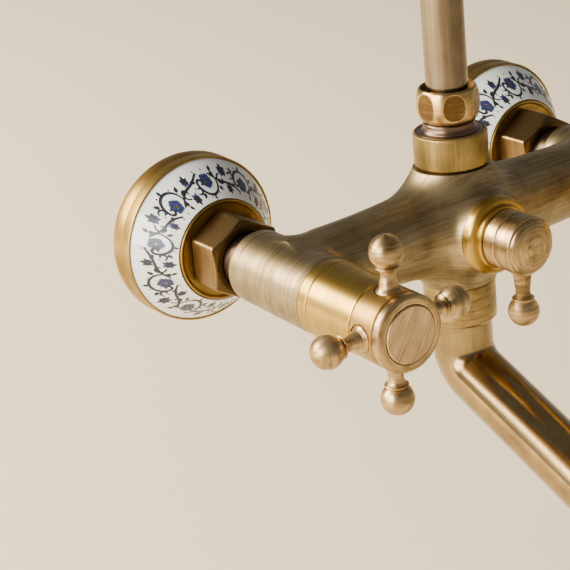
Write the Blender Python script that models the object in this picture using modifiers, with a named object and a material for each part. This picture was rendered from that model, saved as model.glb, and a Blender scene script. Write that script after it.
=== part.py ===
"""Rainfall shower column: a wall-mounted bath mixer with two cross handles, a swivel
spout, a diverter, a riser, a gooseneck arm and a tilting rain head.

World frame: the wall is the plane Y = 0, the origin lies midway between the two water
inlets, +X runs to the right-hand inlet, -Y comes out of the wall and +Z is up.
Lengths that come out of the wall are called "out" and are positive towards -Y.
"""
import bpy
import bmesh
from math import cos, pi, radians, sin, sqrt
from mathutils import Matrix, Vector

MM = 0.001

# ---- Driving dimensions ----------------------------------------------------------
INLET_SPACING = 150.0 * MM      # centre to centre of the two water inlets
RISER_LENGTH = 655.0 * MM       # straight pipe above the mixer
ARM_RISE = 98.0 * MM            # straight start of the gooseneck above the riser
ARM_REACH = 300.0 * MM          # riser axis to rain head axis
ARM_DROP = 22.0 * MM            # straight end of the gooseneck above the head
BRACKET_HEIGHT = 600.0 * MM     # wall bracket above the inlets
HEAD_R = 100.0 * MM             # rain head, 8 inch class
SPOUT_RUN = 112.0 * MM          # straight, gently falling length of the spout

# ---- Clearances and walls --------------------------------------------------------
GAP = 0.3 * MM                  # between faces that meet and round a fixed fit
RUN_GAP = 0.4 * MM              # round pieces that turn in one another
WALL = 1.6 * MM                 # pressed and cast brass walls
PIPE_WALL = 1.2 * MM

# ---- Wall flange and its ceramic rosette (radius, out) ---------------------------
FLANGE_R = 32.15 * MM
FLANGE_BACK_R = 31.0 * MM
FLANGE_BELL_OUT = 4.0 * MM
RIM_OUT = 13.6 * MM
RIM_R = 31.6 * MM
RIM_BEAD = 2.2 * MM             # width and height of the bead round the ceramic
SEAT_WIDTH = 3.0 * MM           # flat ring that bears on the wall
CUP_MARGIN = 2.8 * MM           # union nut's corners to the cup's lip
CUP_OUT = 30.7 * MM
CUP_DEPTH = 2.2 * MM
ROSETTE_INSET = 0.2 * MM        # ceramic edge inside the rim
ROSETTE_WALL = 2.6 * MM
ROSETTE_EDGE = 1.0 * MM
ROSETTE_CROWN = 0.8 * MM        # how far the ceramic bulges out of a straight cone

# ---- Union between the wall pipe and the mixer -----------------------------------
THREAD_R = 13.0 * MM            # G 3/4 nose of the eccentric union
PIPE_THREAD_R = 10.4 * MM       # G 1/2 tail that screws into the wall
ECCENTRICITY = 5.0 * MM
UNION_TAIL = 14.0 * MM          # length of the tail behind the wall plane
UNION_STEP_OUT = 9.0 * MM
UNION_BORE_R = 6.0 * MM
NUT_WALL = 0.7 * MM             # thinnest wall, in the middle of a flat
NUT_LENGTH = 15.0 * MM
NUT_LIP = 2.6 * MM              # front lip that draws the tail flange in
NUT_CHAMFER = 1.6 * MM
WASHER_THICK = 2.0 * MM
TAIL_FLANGE = 1.8 * MM
TAIL_R = 10.2 * MM
TAIL_REVEAL = 6.7 * MM          # bare tail between the nut and the mixer
TAIL_SPIGOT_R = 8.5 * MM
TAIL_SPIGOT = 5.4 * MM

# ---- Mixer body ------------------------------------------------------------------
END_BACK_R = 13.4 * MM
END_FRONT_R = 13.8 * MM
END_LENGTH = 42.9 * MM          # front to back of an end barrel
END_ROUND = 1.6 * MM
ARM_SETBACK = 20.6 * MM         # back of an end barrel to the body's centre line
ARM_END_R = 14.4 * MM
ARM_TUCK = 1.2 * MM             # how far the cross body draws in inside an end barrel
ARM_SWELL = 4.2 * MM            # how much the cross body thickens at its middle
NECK_R = 13.9 * MM
NECK_HALF = 22.5 * MM           # centre line to the top and bottom faces
HUB_R = 18.6 * MM
BOSS_R = 14.6 * MM
BOSS_OUT = 20.3 * MM            # centre line to the diverter's seat
WATERWAY_R = 6.0 * MM
CARTRIDGE_R = 10.0 * MM
CARTRIDGE_SEAT = 9.3 * MM       # back of an end barrel to the cartridge
DIVERTER_DEPTH = 13.3 * MM      # seat of the diverter to the bottom of its bore

# ---- Bonnet, spindle and cross handle --------------------------------------------
RING_LENGTH = 4.5 * MM
SLEEVE_LENGTH = 22.7 * MM
SLEEVE_FRONT_R = 13.2 * MM
CARTRIDGE_NECK_R = 7.5 * MM
CARTRIDGE_NECK = 16.0 * MM
DISC_R = 8.5 * MM
DISC_THICK = 3.0 * MM
SPINDLE_R = 3.9 * MM
HUB_EDGE = 0.8 * MM             # hub left in front of and behind an arm's seat
HANDLE_R = 13.3 * MM
HUB_SKIRT = 2.6 * MM
HUB_LAND = 5.4 * MM
CAP_LENGTH = 3.7 * MM
CAP_EASE = 1.4 * MM
CAP_LAND = 2.07 * MM            # flat ring round the index disc
INDEX_PROUD = 0.4 * MM
INDEX_THICK = 1.5 * MM
SPIGOT_STEP = 1.0 * MM
SCREW_R = 1.9 * MM
SCREW_HEAD_R = 3.6 * MM
SCREW_HEAD = 2.0 * MM
SCREW_LENGTH = 11.0 * MM
ARM_LENGTH = 12.7 * MM          # hub surface to the centre of a ball
BALL_R = 5.7 * MM
BEAD_R = 4.0 * MM
WAIST_R = 2.6 * MM
FOOT_R = 4.5 * MM
FOOT_SINK = 1.1 * MM            # hub surface to the flat that an arm seats on
STUD_R = 2.0 * MM
STUD_LENGTH = 3.6 * MM
ARMS = 4

# ---- Diverter --------------------------------------------------------------------
DIVERTER_RING_R = 14.6 * MM
DIVERTER_RING_LENGTH = 4.4 * MM
DIVERTER_STEP_R = 11.8 * MM
DIVERTER_STEP = 2.0 * MM
DIVERTER_HUB_R = 10.8 * MM
DIVERTER_HUB_LENGTH = 16.0 * MM
DIVERTER_DOME = 3.0 * MM

# ---- Riser joint, riser and bracket ----------------------------------------------
COLLAR_R = 13.7 * MM
TOP_COLLAR_LENGTH = 12.9 * MM
NIPPLE_STEP = 1.85 * MM         # nipple's collar stands this far out of the pipe
NIPPLE_REVEAL = 3.4 * MM
NIPPLE_DEPTH = 10.0 * MM        # how far the nipple screws into the body
NIPPLE_BORE_R = 5.2 * MM
PIPE_R = 7.65 * MM
PIPE_GRIP = 6.0 * MM            # length of nipple inside the barrel nut
BARREL_LENGTH = 12.6 * MM
BARREL_BELLY = 3.55 * MM        # wall of a barrel nut at its middle
BARREL_BOTTOM = 1.95 * MM
BARREL_TOP = 2.25 * MM
STEM_R = 6.0 * MM
STEM_COLLAR_R = 15.6 * MM
STEM_COLLAR = 3.6 * MM
CLAMP_WALL = 4.55 * MM
CLAMP_HEIGHT = 20.0 * MM
CLAMP_SOCKET_R = 9.0 * MM
CLAMP_SOCKET = 9.0 * MM

# ---- Rain head and its ball joint (heights from the ball's centre) ---------------
HEAD_BALL_R = 10.0 * MM
HEAD_STEM_R = 4.6 * MM
HEAD_STEM = 19.0 * MM
HEAD_SOCKET_WALL = 2.65 * MM
HEAD_SOCKET = 18.0 * MM
SEAT_WALL = 2.2 * MM
SEAT_HALF = 5.0 * MM
HEAD_NUT_WALL = 2.7 * MM
HEAD_NUT_LIP = 3.0 * MM         # nut above the seat's upper edge
HEAD_THREAD_R = 14.0 * MM
HEAD_THREAD_DROP = 1.4 * MM      # seat's lower edge to the shell's threaded neck
HEAD_THREAD_LENGTH = 7.6 * MM
HEAD_NECK_WALL = 3.0 * MM
HEAD_SHOULDER_STEP = 2.0 * MM
HEAD_CROWN = 14.0 * MM          # fall of the shell from its shoulder to its rim
HEAD_RIM = 7.0 * MM
FACE_THICK = 1.5 * MM
MAT_THICK = 1.8 * MM

# ---- Spout -----------------------------------------------------------------------
SPOUT_COLLAR_LENGTH = 15.9 * MM
SPOUT_R = 11.7 * MM
SPOUT_TENON_R = 9.0 * MM
SPOUT_TENON = 11.0 * MM
SPOUT_START = 7.5 * MM          # straight length below the collar
SPOUT_BEND_R = 15.5 * MM
SPOUT_BEND = radians(68.0)      # turn from straight down to nearly level
SPOUT_NOSE_R = 17.0 * MM
SPOUT_NOSE = radians(58.0)      # turn back down at the mouth
SPOUT_MOUTH = 5.0 * MM
AERATOR_R = 9.4 * MM
AERATOR_LENGTH = 9.0 * MM
AERATOR_PROUD = 1.6 * MM

# ---- Facets ----------------------------------------------------------------------
FINE = 20
MEDIUM = 16
COARSE = 14
SMALL = 8
PIPE_SIDES = 12
CUTTER_PHASE = radians(4.0)

# ---- Sizes that follow from what fits inside -------------------------------------
PIPE_BORE_R = PIPE_R + GAP
THREAD_BORE_R = THREAD_R + GAP
NUT_ACROSS_FLATS = 2 * (THREAD_BORE_R + NUT_WALL)
NUT_CORNER_R = NUT_ACROSS_FLATS / sqrt(3)
CUP_R = NUT_CORNER_R + CUP_MARGIN
ROSETTE_R = RIM_R - ROSETTE_INSET
HUB_LENGTH = 2 * (FOOT_R + GAP + HUB_EDGE)
CAP_FACE_R = HANDLE_R - CAP_EASE
INDEX_R = CAP_FACE_R - CAP_LAND
SPIGOT_R = INDEX_R - SPIGOT_STEP
FOOT_SEAT = HANDLE_R - FOOT_SINK
BALL_REACH = HANDLE_R + ARM_LENGTH
NIPPLE_R = PIPE_R + NIPPLE_STEP
BARREL_R = PIPE_BORE_R + BARREL_BELLY
BARREL_BOTTOM_R = PIPE_BORE_R + BARREL_BOTTOM
BARREL_TOP_R = PIPE_BORE_R + BARREL_TOP
CLAMP_R = PIPE_BORE_R + CLAMP_WALL
HEAD_SOCKET_R = PIPE_BORE_R + HEAD_SOCKET_WALL
HEAD_NUT_R = HEAD_THREAD_R + GAP + HEAD_NUT_WALL
HEAD_SHOULDER_R = HEAD_NUT_R + HEAD_SHOULDER_STEP
HEAD_THROAT_R = HEAD_THREAD_R - HEAD_NECK_WALL
HEAD_NUT_TOP = SEAT_HALF + HEAD_NUT_LIP
HEAD_THREAD_TOP = -SEAT_HALF - HEAD_THREAD_DROP
HEAD_THREAD_END = HEAD_THREAD_TOP - HEAD_THREAD_LENGTH

# ---- Places worked out from the above --------------------------------------------
NUT_OUT = CUP_OUT + GAP
NUT_FRONT = NUT_OUT + NUT_LENGTH
END_OUT = NUT_FRONT + TAIL_REVEAL
BODY_OUT = END_OUT + ARM_SETBACK
END_FRONT = END_OUT + END_LENGTH
RING_OUT = END_FRONT + GAP
SLEEVE_OUT = RING_OUT + RING_LENGTH + GAP
HUB_OUT = SLEEVE_OUT + SLEEVE_LENGTH + GAP
HUB_MIDDLE = HUB_OUT + HUB_LENGTH / 2
CAP_OUT = HUB_OUT + HUB_LENGTH + GAP
CAP_FRONT = CAP_OUT + CAP_LENGTH
SPINDLE_TIP = HUB_OUT + HUB_LENGTH - HUB_LAND
TOP_COLLAR_Z = NECK_HALF + GAP
NIPPLE_TOP = TOP_COLLAR_Z + TOP_COLLAR_LENGTH + NIPPLE_REVEAL
BARREL_Z = NIPPLE_TOP + GAP
RISER_Z = BARREL_Z + PIPE_GRIP + GAP
RISER_TOP = RISER_Z + RISER_LENGTH
ARM_Z = RISER_TOP + GAP
ARCH_Z = ARM_Z + ARM_RISE
ARCH_R = ARM_REACH / 2
ARM_END_Z = ARCH_Z - ARM_DROP
BALL_Z = ARM_END_Z - HEAD_SOCKET / 2 - HEAD_STEM
SPOUT_COLLAR_Z = -NECK_HALF - GAP
SPOUT_Z = SPOUT_COLLAR_Z - SPOUT_COLLAR_LENGTH - RUN_GAP

BRASS = (0.47, 0.36, 0.20)
ROSE_BRASS = (0.55, 0.41, 0.26)
GOLD_BRASS = (0.60, 0.45, 0.20)
DARK_BRASS = (0.33, 0.25, 0.16)


# ---- Collections, materials and empties ------------------------------------------
def clear_scene():
    for item in list(bpy.data.objects):
        bpy.data.objects.remove(item, do_unlink=True)


def new_collection(name):
    group = bpy.data.collections.new(name)
    bpy.context.scene.collection.children.link(group)
    return group


clear_scene()
PARTS = new_collection("rainfall_shower_column")
CUTTERS = new_collection("cutters")


def material(name, colour, roughness, metallic):
    made = bpy.data.materials.new(name)
    made.use_nodes = True
    shader = made.node_tree.nodes["Principled BSDF"]
    shader.inputs["Base Color"].default_value = (*colour, 1.0)
    shader.inputs["Roughness"].default_value = roughness
    shader.inputs["Metallic"].default_value = metallic
    made.diffuse_color = (*colour, 1.0)
    return made


def axis_empty(name, at, turn=(0.0, 0.0, 0.0), parent=None):
    """An empty that stands on a joint's or a piece's axis."""
    empty = bpy.data.objects.new(name, None)
    empty.location = at
    empty.rotation_euler = turn
    empty.parent = parent
    empty.empty_display_size = 10 * MM
    PARTS.objects.link(empty)
    return empty


# ---- Shape helpers ---------------------------------------------------------------
def add_object(name, mesh, parent, at, turn, cutter=False):
    piece = bpy.data.objects.new(name, mesh)
    piece.parent = parent
    piece.location = at
    piece.rotation_euler = turn
    if cutter:
        piece.hide_render = True
        piece.display_type = 'WIRE'
        CUTTERS.objects.link(piece)
    else:
        PARTS.objects.link(piece)
    return piece


def ring_outline(outer, inner):
    """A closed outline: the outer side downwards, then the inner side back up."""
    return list(outer) + list(reversed(inner)), True


def solid_outline(outer):
    """An outline that starts and ends on the axis."""
    return list(outer), False


def turned(name, outline, parent, facets=MEDIUM, at=(0, 0, 0), turn=(0, 0, 0),
           cutter=False, phase=0.0):
    """Revolve an outline of (radius, height) points about the piece's own Z axis.

    phase turns the facets round, so that the edges of two pieces don't coincide.
    """
    points, closed = outline
    edges = [(i, i + 1) for i in range(len(points) - 1)]
    if closed:
        edges.append((len(points) - 1, 0))
    mesh = bpy.data.meshes.new(name)
    corners = [(r * cos(phase), r * sin(phase), h) for r, h in points]
    mesh.from_pydata(corners, edges, [])
    piece = add_object(name, mesh, parent, at, turn, cutter)
    screw = piece.modifiers.new("turn", 'SCREW')
    screw.steps = facets
    screw.render_steps = facets
    screw.use_merge_vertices = True
    screw.merge_threshold = 0.00001
    screw.use_smooth_shade = True
    return piece


def rod(name, radius, low, high, parent, facets=MEDIUM, at=(0, 0, 0), turn=(0, 0, 0)):
    """A plain round cutter from low to high along its own Z axis."""
    outline = solid_outline([(0, high), (radius, high), (radius, low), (0, low)])
    return turned(name, outline, parent, facets, at, turn, cutter=True, phase=CUTTER_PHASE)


def combine(piece, other, operation):
    step = piece.modifiers.new(operation.lower(), 'BOOLEAN')
    step.operation = operation
    step.solver = 'EXACT'
    step.object = other
    return step


def arc(centre_r, centre_h, radius, start, end, steps):
    """Points on an arc; angles run from the outward direction, up positive."""
    points = []
    for i in range(steps + 1):
        angle = start + (end - start) * i / steps
        points.append((centre_r + radius * cos(angle), centre_h + radius * sin(angle)))
    return points


def tube(name, path, radius, parent, sides, cutter=False):
    """A round bar that follows a path, made a closed mesh."""
    curve = bpy.data.curves.new(name, 'CURVE')
    curve.dimensions = '3D'
    curve.bevel_depth = radius
    curve.bevel_resolution = (sides - 4) // 2
    curve.use_fill_caps = True
    spline = curve.splines.new('POLY')
    spline.points.add(len(path) - 1)
    for point, place in zip(spline.points, path):
        point.co = (*place, 1.0)
    bar = bpy.data.objects.new(name, curve)
    bar.parent = parent
    PARTS.objects.link(bar)
    bpy.context.view_layer.update()
    evaluated = bar.evaluated_get(bpy.context.evaluated_depsgraph_get())
    mesh = bpy.data.meshes.new_from_object(evaluated)
    bpy.data.objects.remove(bar, do_unlink=True)
    work = bmesh.new()
    work.from_mesh(mesh)
    bmesh.ops.remove_doubles(work, verts=work.verts, dist=0.00001)
    bmesh.ops.recalc_face_normals(work, faces=work.faces)
    work.to_mesh(mesh)
    work.free()
    return add_object(name, mesh, parent, (0, 0, 0), (0, 0, 0), cutter)


def paint(piece, finish):
    piece.data.materials.clear()
    piece.data.materials.append(finish)


OUT_OF_WALL = (pi / 2, 0.0, 0.0)    # turns a piece's own +Z out of the wall


# ---- Wall flange, rosette and union ----------------------------------------------
def wall_flange(name, parent):
    """Turned brass rose: a bell rim on the wall and a cup that holds the ceramic."""
    shelf_r = RIM_R - RIM_BEAD
    shelf_out = RIM_OUT - RIM_BEAD
    neck_out = CUP_OUT - CUP_DEPTH - ROSETTE_WALL
    hole_r = THREAD_BORE_R + GAP
    inner_r = FLANGE_BACK_R - SEAT_WIDTH
    outer = [
        (hole_r, CUP_OUT - CUP_DEPTH),
        (CUP_R - 1.4 * MM, CUP_OUT - CUP_DEPTH),
        (CUP_R - 0.5 * MM, CUP_OUT),
        (CUP_R, CUP_OUT),
        (CUP_R, neck_out),
        (shelf_r, shelf_out),
        (RIM_R - 0.9 * MM, RIM_OUT),
        (RIM_R, RIM_OUT - 0.5 * MM),
        (FLANGE_R, FLANGE_BELL_OUT),
        (FLANGE_BACK_R, 0.0),
    ]
    inner = [
        (hole_r, CUP_OUT - CUP_DEPTH - WALL),
        (CUP_R - WALL, CUP_OUT - CUP_DEPTH - 2 * WALL),
        (inner_r, shelf_out - WALL),
        (inner_r, 0.0),
    ]
    return turned(name, ring_outline(outer, inner), parent, FINE)


def ceramic_rosette(name, parent):
    """Glazed cone that fills the flange between its rim and its cup."""
    hole_r = CUP_R + GAP
    back_out = RIM_OUT + GAP
    edge_out = back_out + ROSETTE_EDGE
    top_out = CUP_OUT - 0.3 * MM
    crown_r = (hole_r + ROSETTE_R) / 2
    crown_out = (top_out + edge_out) / 2 + ROSETTE_CROWN
    run = ROSETTE_R - hole_r
    slope = (top_out - edge_out) / run
    drop = ROSETTE_WALL * sqrt(1 + slope * slope) / 2
    outer = [
        (hole_r + 0.6 * MM, top_out),
        (crown_r, crown_out),
        (ROSETTE_R - 0.4 * MM, edge_out + 0.3 * MM),
        (ROSETTE_R, edge_out - 0.2 * MM),
        (ROSETTE_R - 0.2 * MM, back_out),
    ]
    inner = [
        (hole_r, top_out - 0.4 * MM),
        (hole_r, top_out - drop),
        (RIM_R - 1.4 * MM, back_out),
    ]
    return turned(name, ring_outline(outer, inner), parent, FINE)


def eccentric_union(name, parent, side):
    """Offset connector: a pipe thread in the wall and a larger thread in front."""
    nose = turned(name, solid_outline([
        (0, NUT_FRONT - NUT_LIP - TAIL_FLANGE - WASHER_THICK - 2 * GAP),
        (THREAD_R, NUT_FRONT - NUT_LIP - TAIL_FLANGE - WASHER_THICK - 2 * GAP),
        (THREAD_R, UNION_STEP_OUT),
        (0, UNION_STEP_OUT),
    ]), parent)
    offset = (side * ECCENTRICITY, 0, 0)
    tail = rod(name + "_tail", PIPE_THREAD_R, -UNION_TAIL, UNION_STEP_OUT + WALL, parent,
               COARSE, offset)
    front_bore = rod(name + "_front_bore", UNION_BORE_R + ECCENTRICITY / 2,
                     UNION_STEP_OUT + 2 * WALL, NUT_FRONT, parent, COARSE)
    back_bore = rod(name + "_back_bore", UNION_BORE_R, -2 * UNION_TAIL,
                    UNION_STEP_OUT + 4 * WALL, parent, COARSE, offset)
    combine(nose, tail, 'UNION')
    combine(nose, front_bore, 'DIFFERENCE')
    combine(nose, back_bore, 'DIFFERENCE')
    return nose


def union_washer(name, parent):
    front = NUT_FRONT - NUT_LIP - TAIL_FLANGE - GAP
    outer = [(THREAD_R - GAP, front), (THREAD_R - GAP, front - WASHER_THICK)]
    inner = [(UNION_BORE_R + ECCENTRICITY / 2, front),
             (UNION_BORE_R + ECCENTRICITY / 2, front - WASHER_THICK)]
    return turned(name, ring_outline(outer, inner), parent, COARSE)


def union_nut(name, parent):
    """Hexagon nut with a turned chamfer; one corner stands straight up."""
    corner_r = NUT_CORNER_R
    mesh = bpy.data.meshes.new(name)
    work = bmesh.new()
    bmesh.ops.create_cone(work, cap_ends=True, cap_tris=False, segments=6,
                          radius1=corner_r, radius2=corner_r, depth=NUT_LENGTH,
                          matrix=Matrix.Translation((0, 0, NUT_OUT + NUT_LENGTH / 2)))
    work.to_mesh(mesh)
    work.free()
    nut = add_object(name, mesh, parent, (0, 0, 0), (0, 0, 0))
    envelope = turned(name + "_envelope", ring_outline([
        (NUT_ACROSS_FLATS / 2 - 1.0 * MM, NUT_FRONT + NUT_CHAMFER),
        (corner_r + 0.4 * MM, NUT_FRONT - NUT_CHAMFER),
        (corner_r + 0.4 * MM, NUT_OUT + 0.4 * MM),
        (corner_r - 1.2 * MM, NUT_OUT - 0.6 * MM),
    ], [
        (TAIL_R + GAP, NUT_FRONT + NUT_CHAMFER),
        (TAIL_R + GAP, NUT_FRONT - NUT_LIP),
        (THREAD_BORE_R, NUT_FRONT - NUT_LIP),
        (THREAD_BORE_R, NUT_OUT - 0.6 * MM),
    ]), parent, FINE, cutter=True)
    combine(nut, envelope, 'INTERSECT')
    return nut


def inlet_tail(name, parent):
    """Flanged tail that screws into the mixer and is drawn to the union by the nut."""
    flange_front = NUT_FRONT - NUT_LIP - GAP
    shoulder = END_OUT - GAP
    outer = [
        (TAIL_SPIGOT_R, shoulder + TAIL_SPIGOT),
        (TAIL_SPIGOT_R, shoulder),
        (TAIL_R, shoulder),
        (TAIL_R, flange_front),
        (THREAD_R - GAP, flange_front),
        (THREAD_R - GAP, flange_front - TAIL_FLANGE + GAP),
    ]
    inner = [
        (UNION_BORE_R, shoulder + TAIL_SPIGOT),
        (UNION_BORE_R, flange_front - TAIL_FLANGE + GAP),
    ]
    return turned(name, ring_outline(outer, inner), parent, COARSE)


# ---- Valve cartridges, bonnets and handles ---------------------------------------
def valve_cartridge(name, parent, back, front, neck_front):
    """Cartridge body: a chamber for the disc and a neck for the spindle."""
    chamber = back + DISC_THICK + 2 * GAP
    outer = [
        (CARTRIDGE_NECK_R, neck_front),
        (CARTRIDGE_NECK_R, front),
        (CARTRIDGE_R, front),
        (CARTRIDGE_R, back),
    ]
    inner = [
        (SPINDLE_R + RUN_GAP, neck_front),
        (SPINDLE_R + RUN_GAP, chamber),
        (DISC_R + RUN_GAP, chamber),
        (DISC_R + RUN_GAP, back),
    ]
    return turned(name, ring_outline(outer, inner), parent)


def valve_spindle(name, parent, back, tip):
    """Spindle with its disc at the back and a screw hole in its tip."""
    disc = back + DISC_THICK
    hole = tip - SCREW_LENGTH
    outline = solid_outline([
        (0, hole), (SCREW_R + GAP, hole), (SCREW_R + GAP, tip), (SPINDLE_R, tip),
        (SPINDLE_R, disc), (DISC_R, disc), (DISC_R, back), (0, back),
    ])
    return turned(name, outline, parent, SMALL)


def bonnet_ring(name, parent):
    outer = [
        (END_FRONT_R - 0.5 * MM, RING_OUT + RING_LENGTH),
        (END_FRONT_R, RING_OUT + RING_LENGTH - 0.5 * MM),
        (END_FRONT_R, RING_OUT),
    ]
    inner = [
        (CARTRIDGE_NECK_R + GAP, RING_OUT + RING_LENGTH),
        (CARTRIDGE_NECK_R + GAP, RING_OUT),
    ]
    return turned(name, ring_outline(outer, inner), parent)


def bonnet_sleeve(name, parent):
    """Tapered shroud over the cartridge neck."""
    front = SLEEVE_OUT + SLEEVE_LENGTH
    base = SLEEVE_OUT + WALL
    outer = [(SLEEVE_FRONT_R, front), (END_FRONT_R, SLEEVE_OUT)]
    inner = [
        (SLEEVE_FRONT_R - WALL, front),
        (SLEEVE_FRONT_R - WALL, base),
        (CARTRIDGE_NECK_R + GAP, base),
        (CARTRIDGE_NECK_R + GAP, SLEEVE_OUT),
    ]
    return turned(name, ring_outline(outer, inner), parent)


def handle_hub(name, parent):
    """Hub with a spindle bore, a cap recess and a flat-bottomed seat for each arm."""
    back = HUB_OUT - HUB_MIDDLE
    front = back + HUB_LENGTH
    bore_r = SPINDLE_R + GAP
    screw_r = SCREW_R + 2 * GAP
    hub = turned(name, ring_outline([
        (SPIGOT_R + GAP, front),
        (HANDLE_R, front),
        (HANDLE_R, back),
        (SLEEVE_FRONT_R - WALL, back),
    ], [
        (SPIGOT_R + GAP, front - SCREW_HEAD - 2 * GAP),
        (screw_r, front - SCREW_HEAD - 2 * GAP),
        (screw_r, SPINDLE_TIP + GAP - HUB_MIDDLE),
        (bore_r, SPINDLE_TIP + GAP - HUB_MIDDLE),
        (bore_r, back + HUB_SKIRT),
        (SLEEVE_FRONT_R - WALL, back + HUB_SKIRT),
    ]), parent, FINE)
    for number in range(ARMS):
        seat = turned("%s_seat_%d" % (name, number + 1), solid_outline([
            (0, HANDLE_R + 2 * MM),
            (FOOT_R + GAP, HANDLE_R + 2 * MM),
            (FOOT_R + GAP, FOOT_SEAT),
            (STUD_R + GAP, FOOT_SEAT),
            (STUD_R + GAP, FOOT_SEAT - STUD_LENGTH),
            (0, FOOT_SEAT - STUD_LENGTH),
        ]), parent, SMALL, turn=arm_turn(number), cutter=True)
        combine(hub, seat, 'DIFFERENCE')
    return hub


def arm_turn(number):
    """Points a piece's own +Z along the arm of that number, counted from +X."""
    return (0.0, pi / 2, number * 2 * pi / ARMS)


def arm_outline(foot):
    """Ball, bead, waist and flared foot, from the ball's tip down to the foot."""
    neck_angle = -radians(46.0)
    points = arc(0, BALL_REACH, BALL_R, pi / 2, neck_angle, 5)
    points[0] = (0, BALL_REACH + BALL_R)
    bead = points[-1][1]
    points += [
        (BEAD_R - 0.6 * MM, bead - 0.7 * MM),
        (WAIST_R, bead - 2.6 * MM),
        (WAIST_R + 0.2 * MM, bead - 5.2 * MM),
        (FOOT_R - 1.0 * MM, foot + 1.6 * MM),
        (FOOT_R, foot + 0.5 * MM),
    ]
    return points


def handle_arm(name, parent, number):
    """Ball-ended arm with a stud that screws into the hub."""
    foot = FOOT_SEAT + GAP
    tip = FOOT_SEAT - STUD_LENGTH + GAP
    points = arm_outline(foot)
    points += [(FOOT_R, foot), (STUD_R, foot), (STUD_R, tip), (0, tip)]
    return turned(name, solid_outline(points), parent, SMALL, turn=arm_turn(number))


def handle_cap(name, parent):
    """Rounded front ring of the handle with a recess for the index disc."""
    back = CAP_OUT - HUB_MIDDLE
    front = CAP_FRONT - HUB_MIDDLE
    floor = front + INDEX_PROUD - INDEX_THICK - GAP
    outer = [
        (INDEX_R + GAP, front),
        (CAP_FACE_R, front),
        (HANDLE_R - 0.5 * MM, front - 0.8 * MM),
        (HANDLE_R, front - 2.0 * MM),
        (HANDLE_R, back),
        (SPIGOT_R, back),
        (SPIGOT_R, back - 1.2 * MM),
    ]
    inner = [
        (INDEX_R + GAP, floor),
        (SCREW_HEAD_R + GAP, floor),
        (SCREW_HEAD_R + GAP, back - 1.2 * MM),
    ]
    return turned(name, ring_outline(outer, inner), parent)


def index_disc(name, parent):
    front = CAP_FRONT + INDEX_PROUD - HUB_MIDDLE
    outline = solid_outline([
        (0, front), (INDEX_R - 0.3 * MM, front), (INDEX_R, front - 0.3 * MM),
        (INDEX_R, front - INDEX_THICK), (0, front - INDEX_THICK),
    ])
    return turned(name, outline, parent)


def handle_screw(name, parent):
    seat = HUB_OUT + HUB_LENGTH - SCREW_HEAD - HUB_MIDDLE - GAP
    tip = SPINDLE_TIP - SCREW_LENGTH + 2 * GAP - HUB_MIDDLE
    outline = solid_outline([
        (0, seat + SCREW_HEAD), (SCREW_HEAD_R - 0.6 * MM, seat + SCREW_HEAD),
        (SCREW_HEAD_R, seat + SCREW_HEAD / 2), (SCREW_HEAD_R, seat),
        (SCREW_R, seat), (SCREW_R, tip), (0, tip),
    ])
    return turned(name, outline, parent, SMALL)


# ---- Mixer body ------------------------------------------------------------------
def swell(share):
    """Share of the body's swelling at a share of the way from its middle to its end."""
    return (0.5 + 0.5 * cos(pi * share)) ** 1.5


def mixer_body(name):
    """Cross body cast in one piece: two end barrels, a riser neck and a diverter boss."""
    half = INLET_SPACING / 2 - ARM_TUCK / 2
    shoulder = half - END_BACK_R
    steps = 9
    points = [(0, half), (ARM_END_R - ARM_TUCK, half)]
    for i in range(steps + 1):
        share = 1 - 2 * i / steps
        points.append((ARM_END_R + ARM_SWELL * swell(abs(share)), shoulder * share))
    points += [(ARM_END_R - ARM_TUCK, -half), (0, -half)]
    body = turned(name, solid_outline(points), COLUMN, FINE, turn=(0, pi / 2, 0))
    hub = turned(name + "_hub", solid_outline([
        (0, NECK_HALF), (NECK_R, NECK_HALF), (HUB_R - 2.0 * MM, NECK_HALF * 0.6),
        (HUB_R, 0), (HUB_R - 2.0 * MM, -NECK_HALF * 0.6), (NECK_R, -NECK_HALF),
        (0, -NECK_HALF),
    ]), COLUMN, FINE, cutter=True)
    boss = rod(name + "_boss", BOSS_R, 0, BOSS_OUT, COLUMN, FINE, turn=OUT_OF_WALL)
    combine(body, hub, 'UNION')
    combine(body, boss, 'UNION')
    for _, label in SIDES:
        barrel = turned(name + "_barrel_" + label, solid_outline([
            (0, END_FRONT), (END_FRONT_R, END_FRONT), (END_BACK_R, END_OUT + END_ROUND),
            (END_BACK_R - END_ROUND, END_OUT), (0, END_OUT),
        ]), INLETS[label], FINE, cutter=True)
        combine(body, barrel, 'UNION')
    cut_waterways(name, body)
    return body


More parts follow.
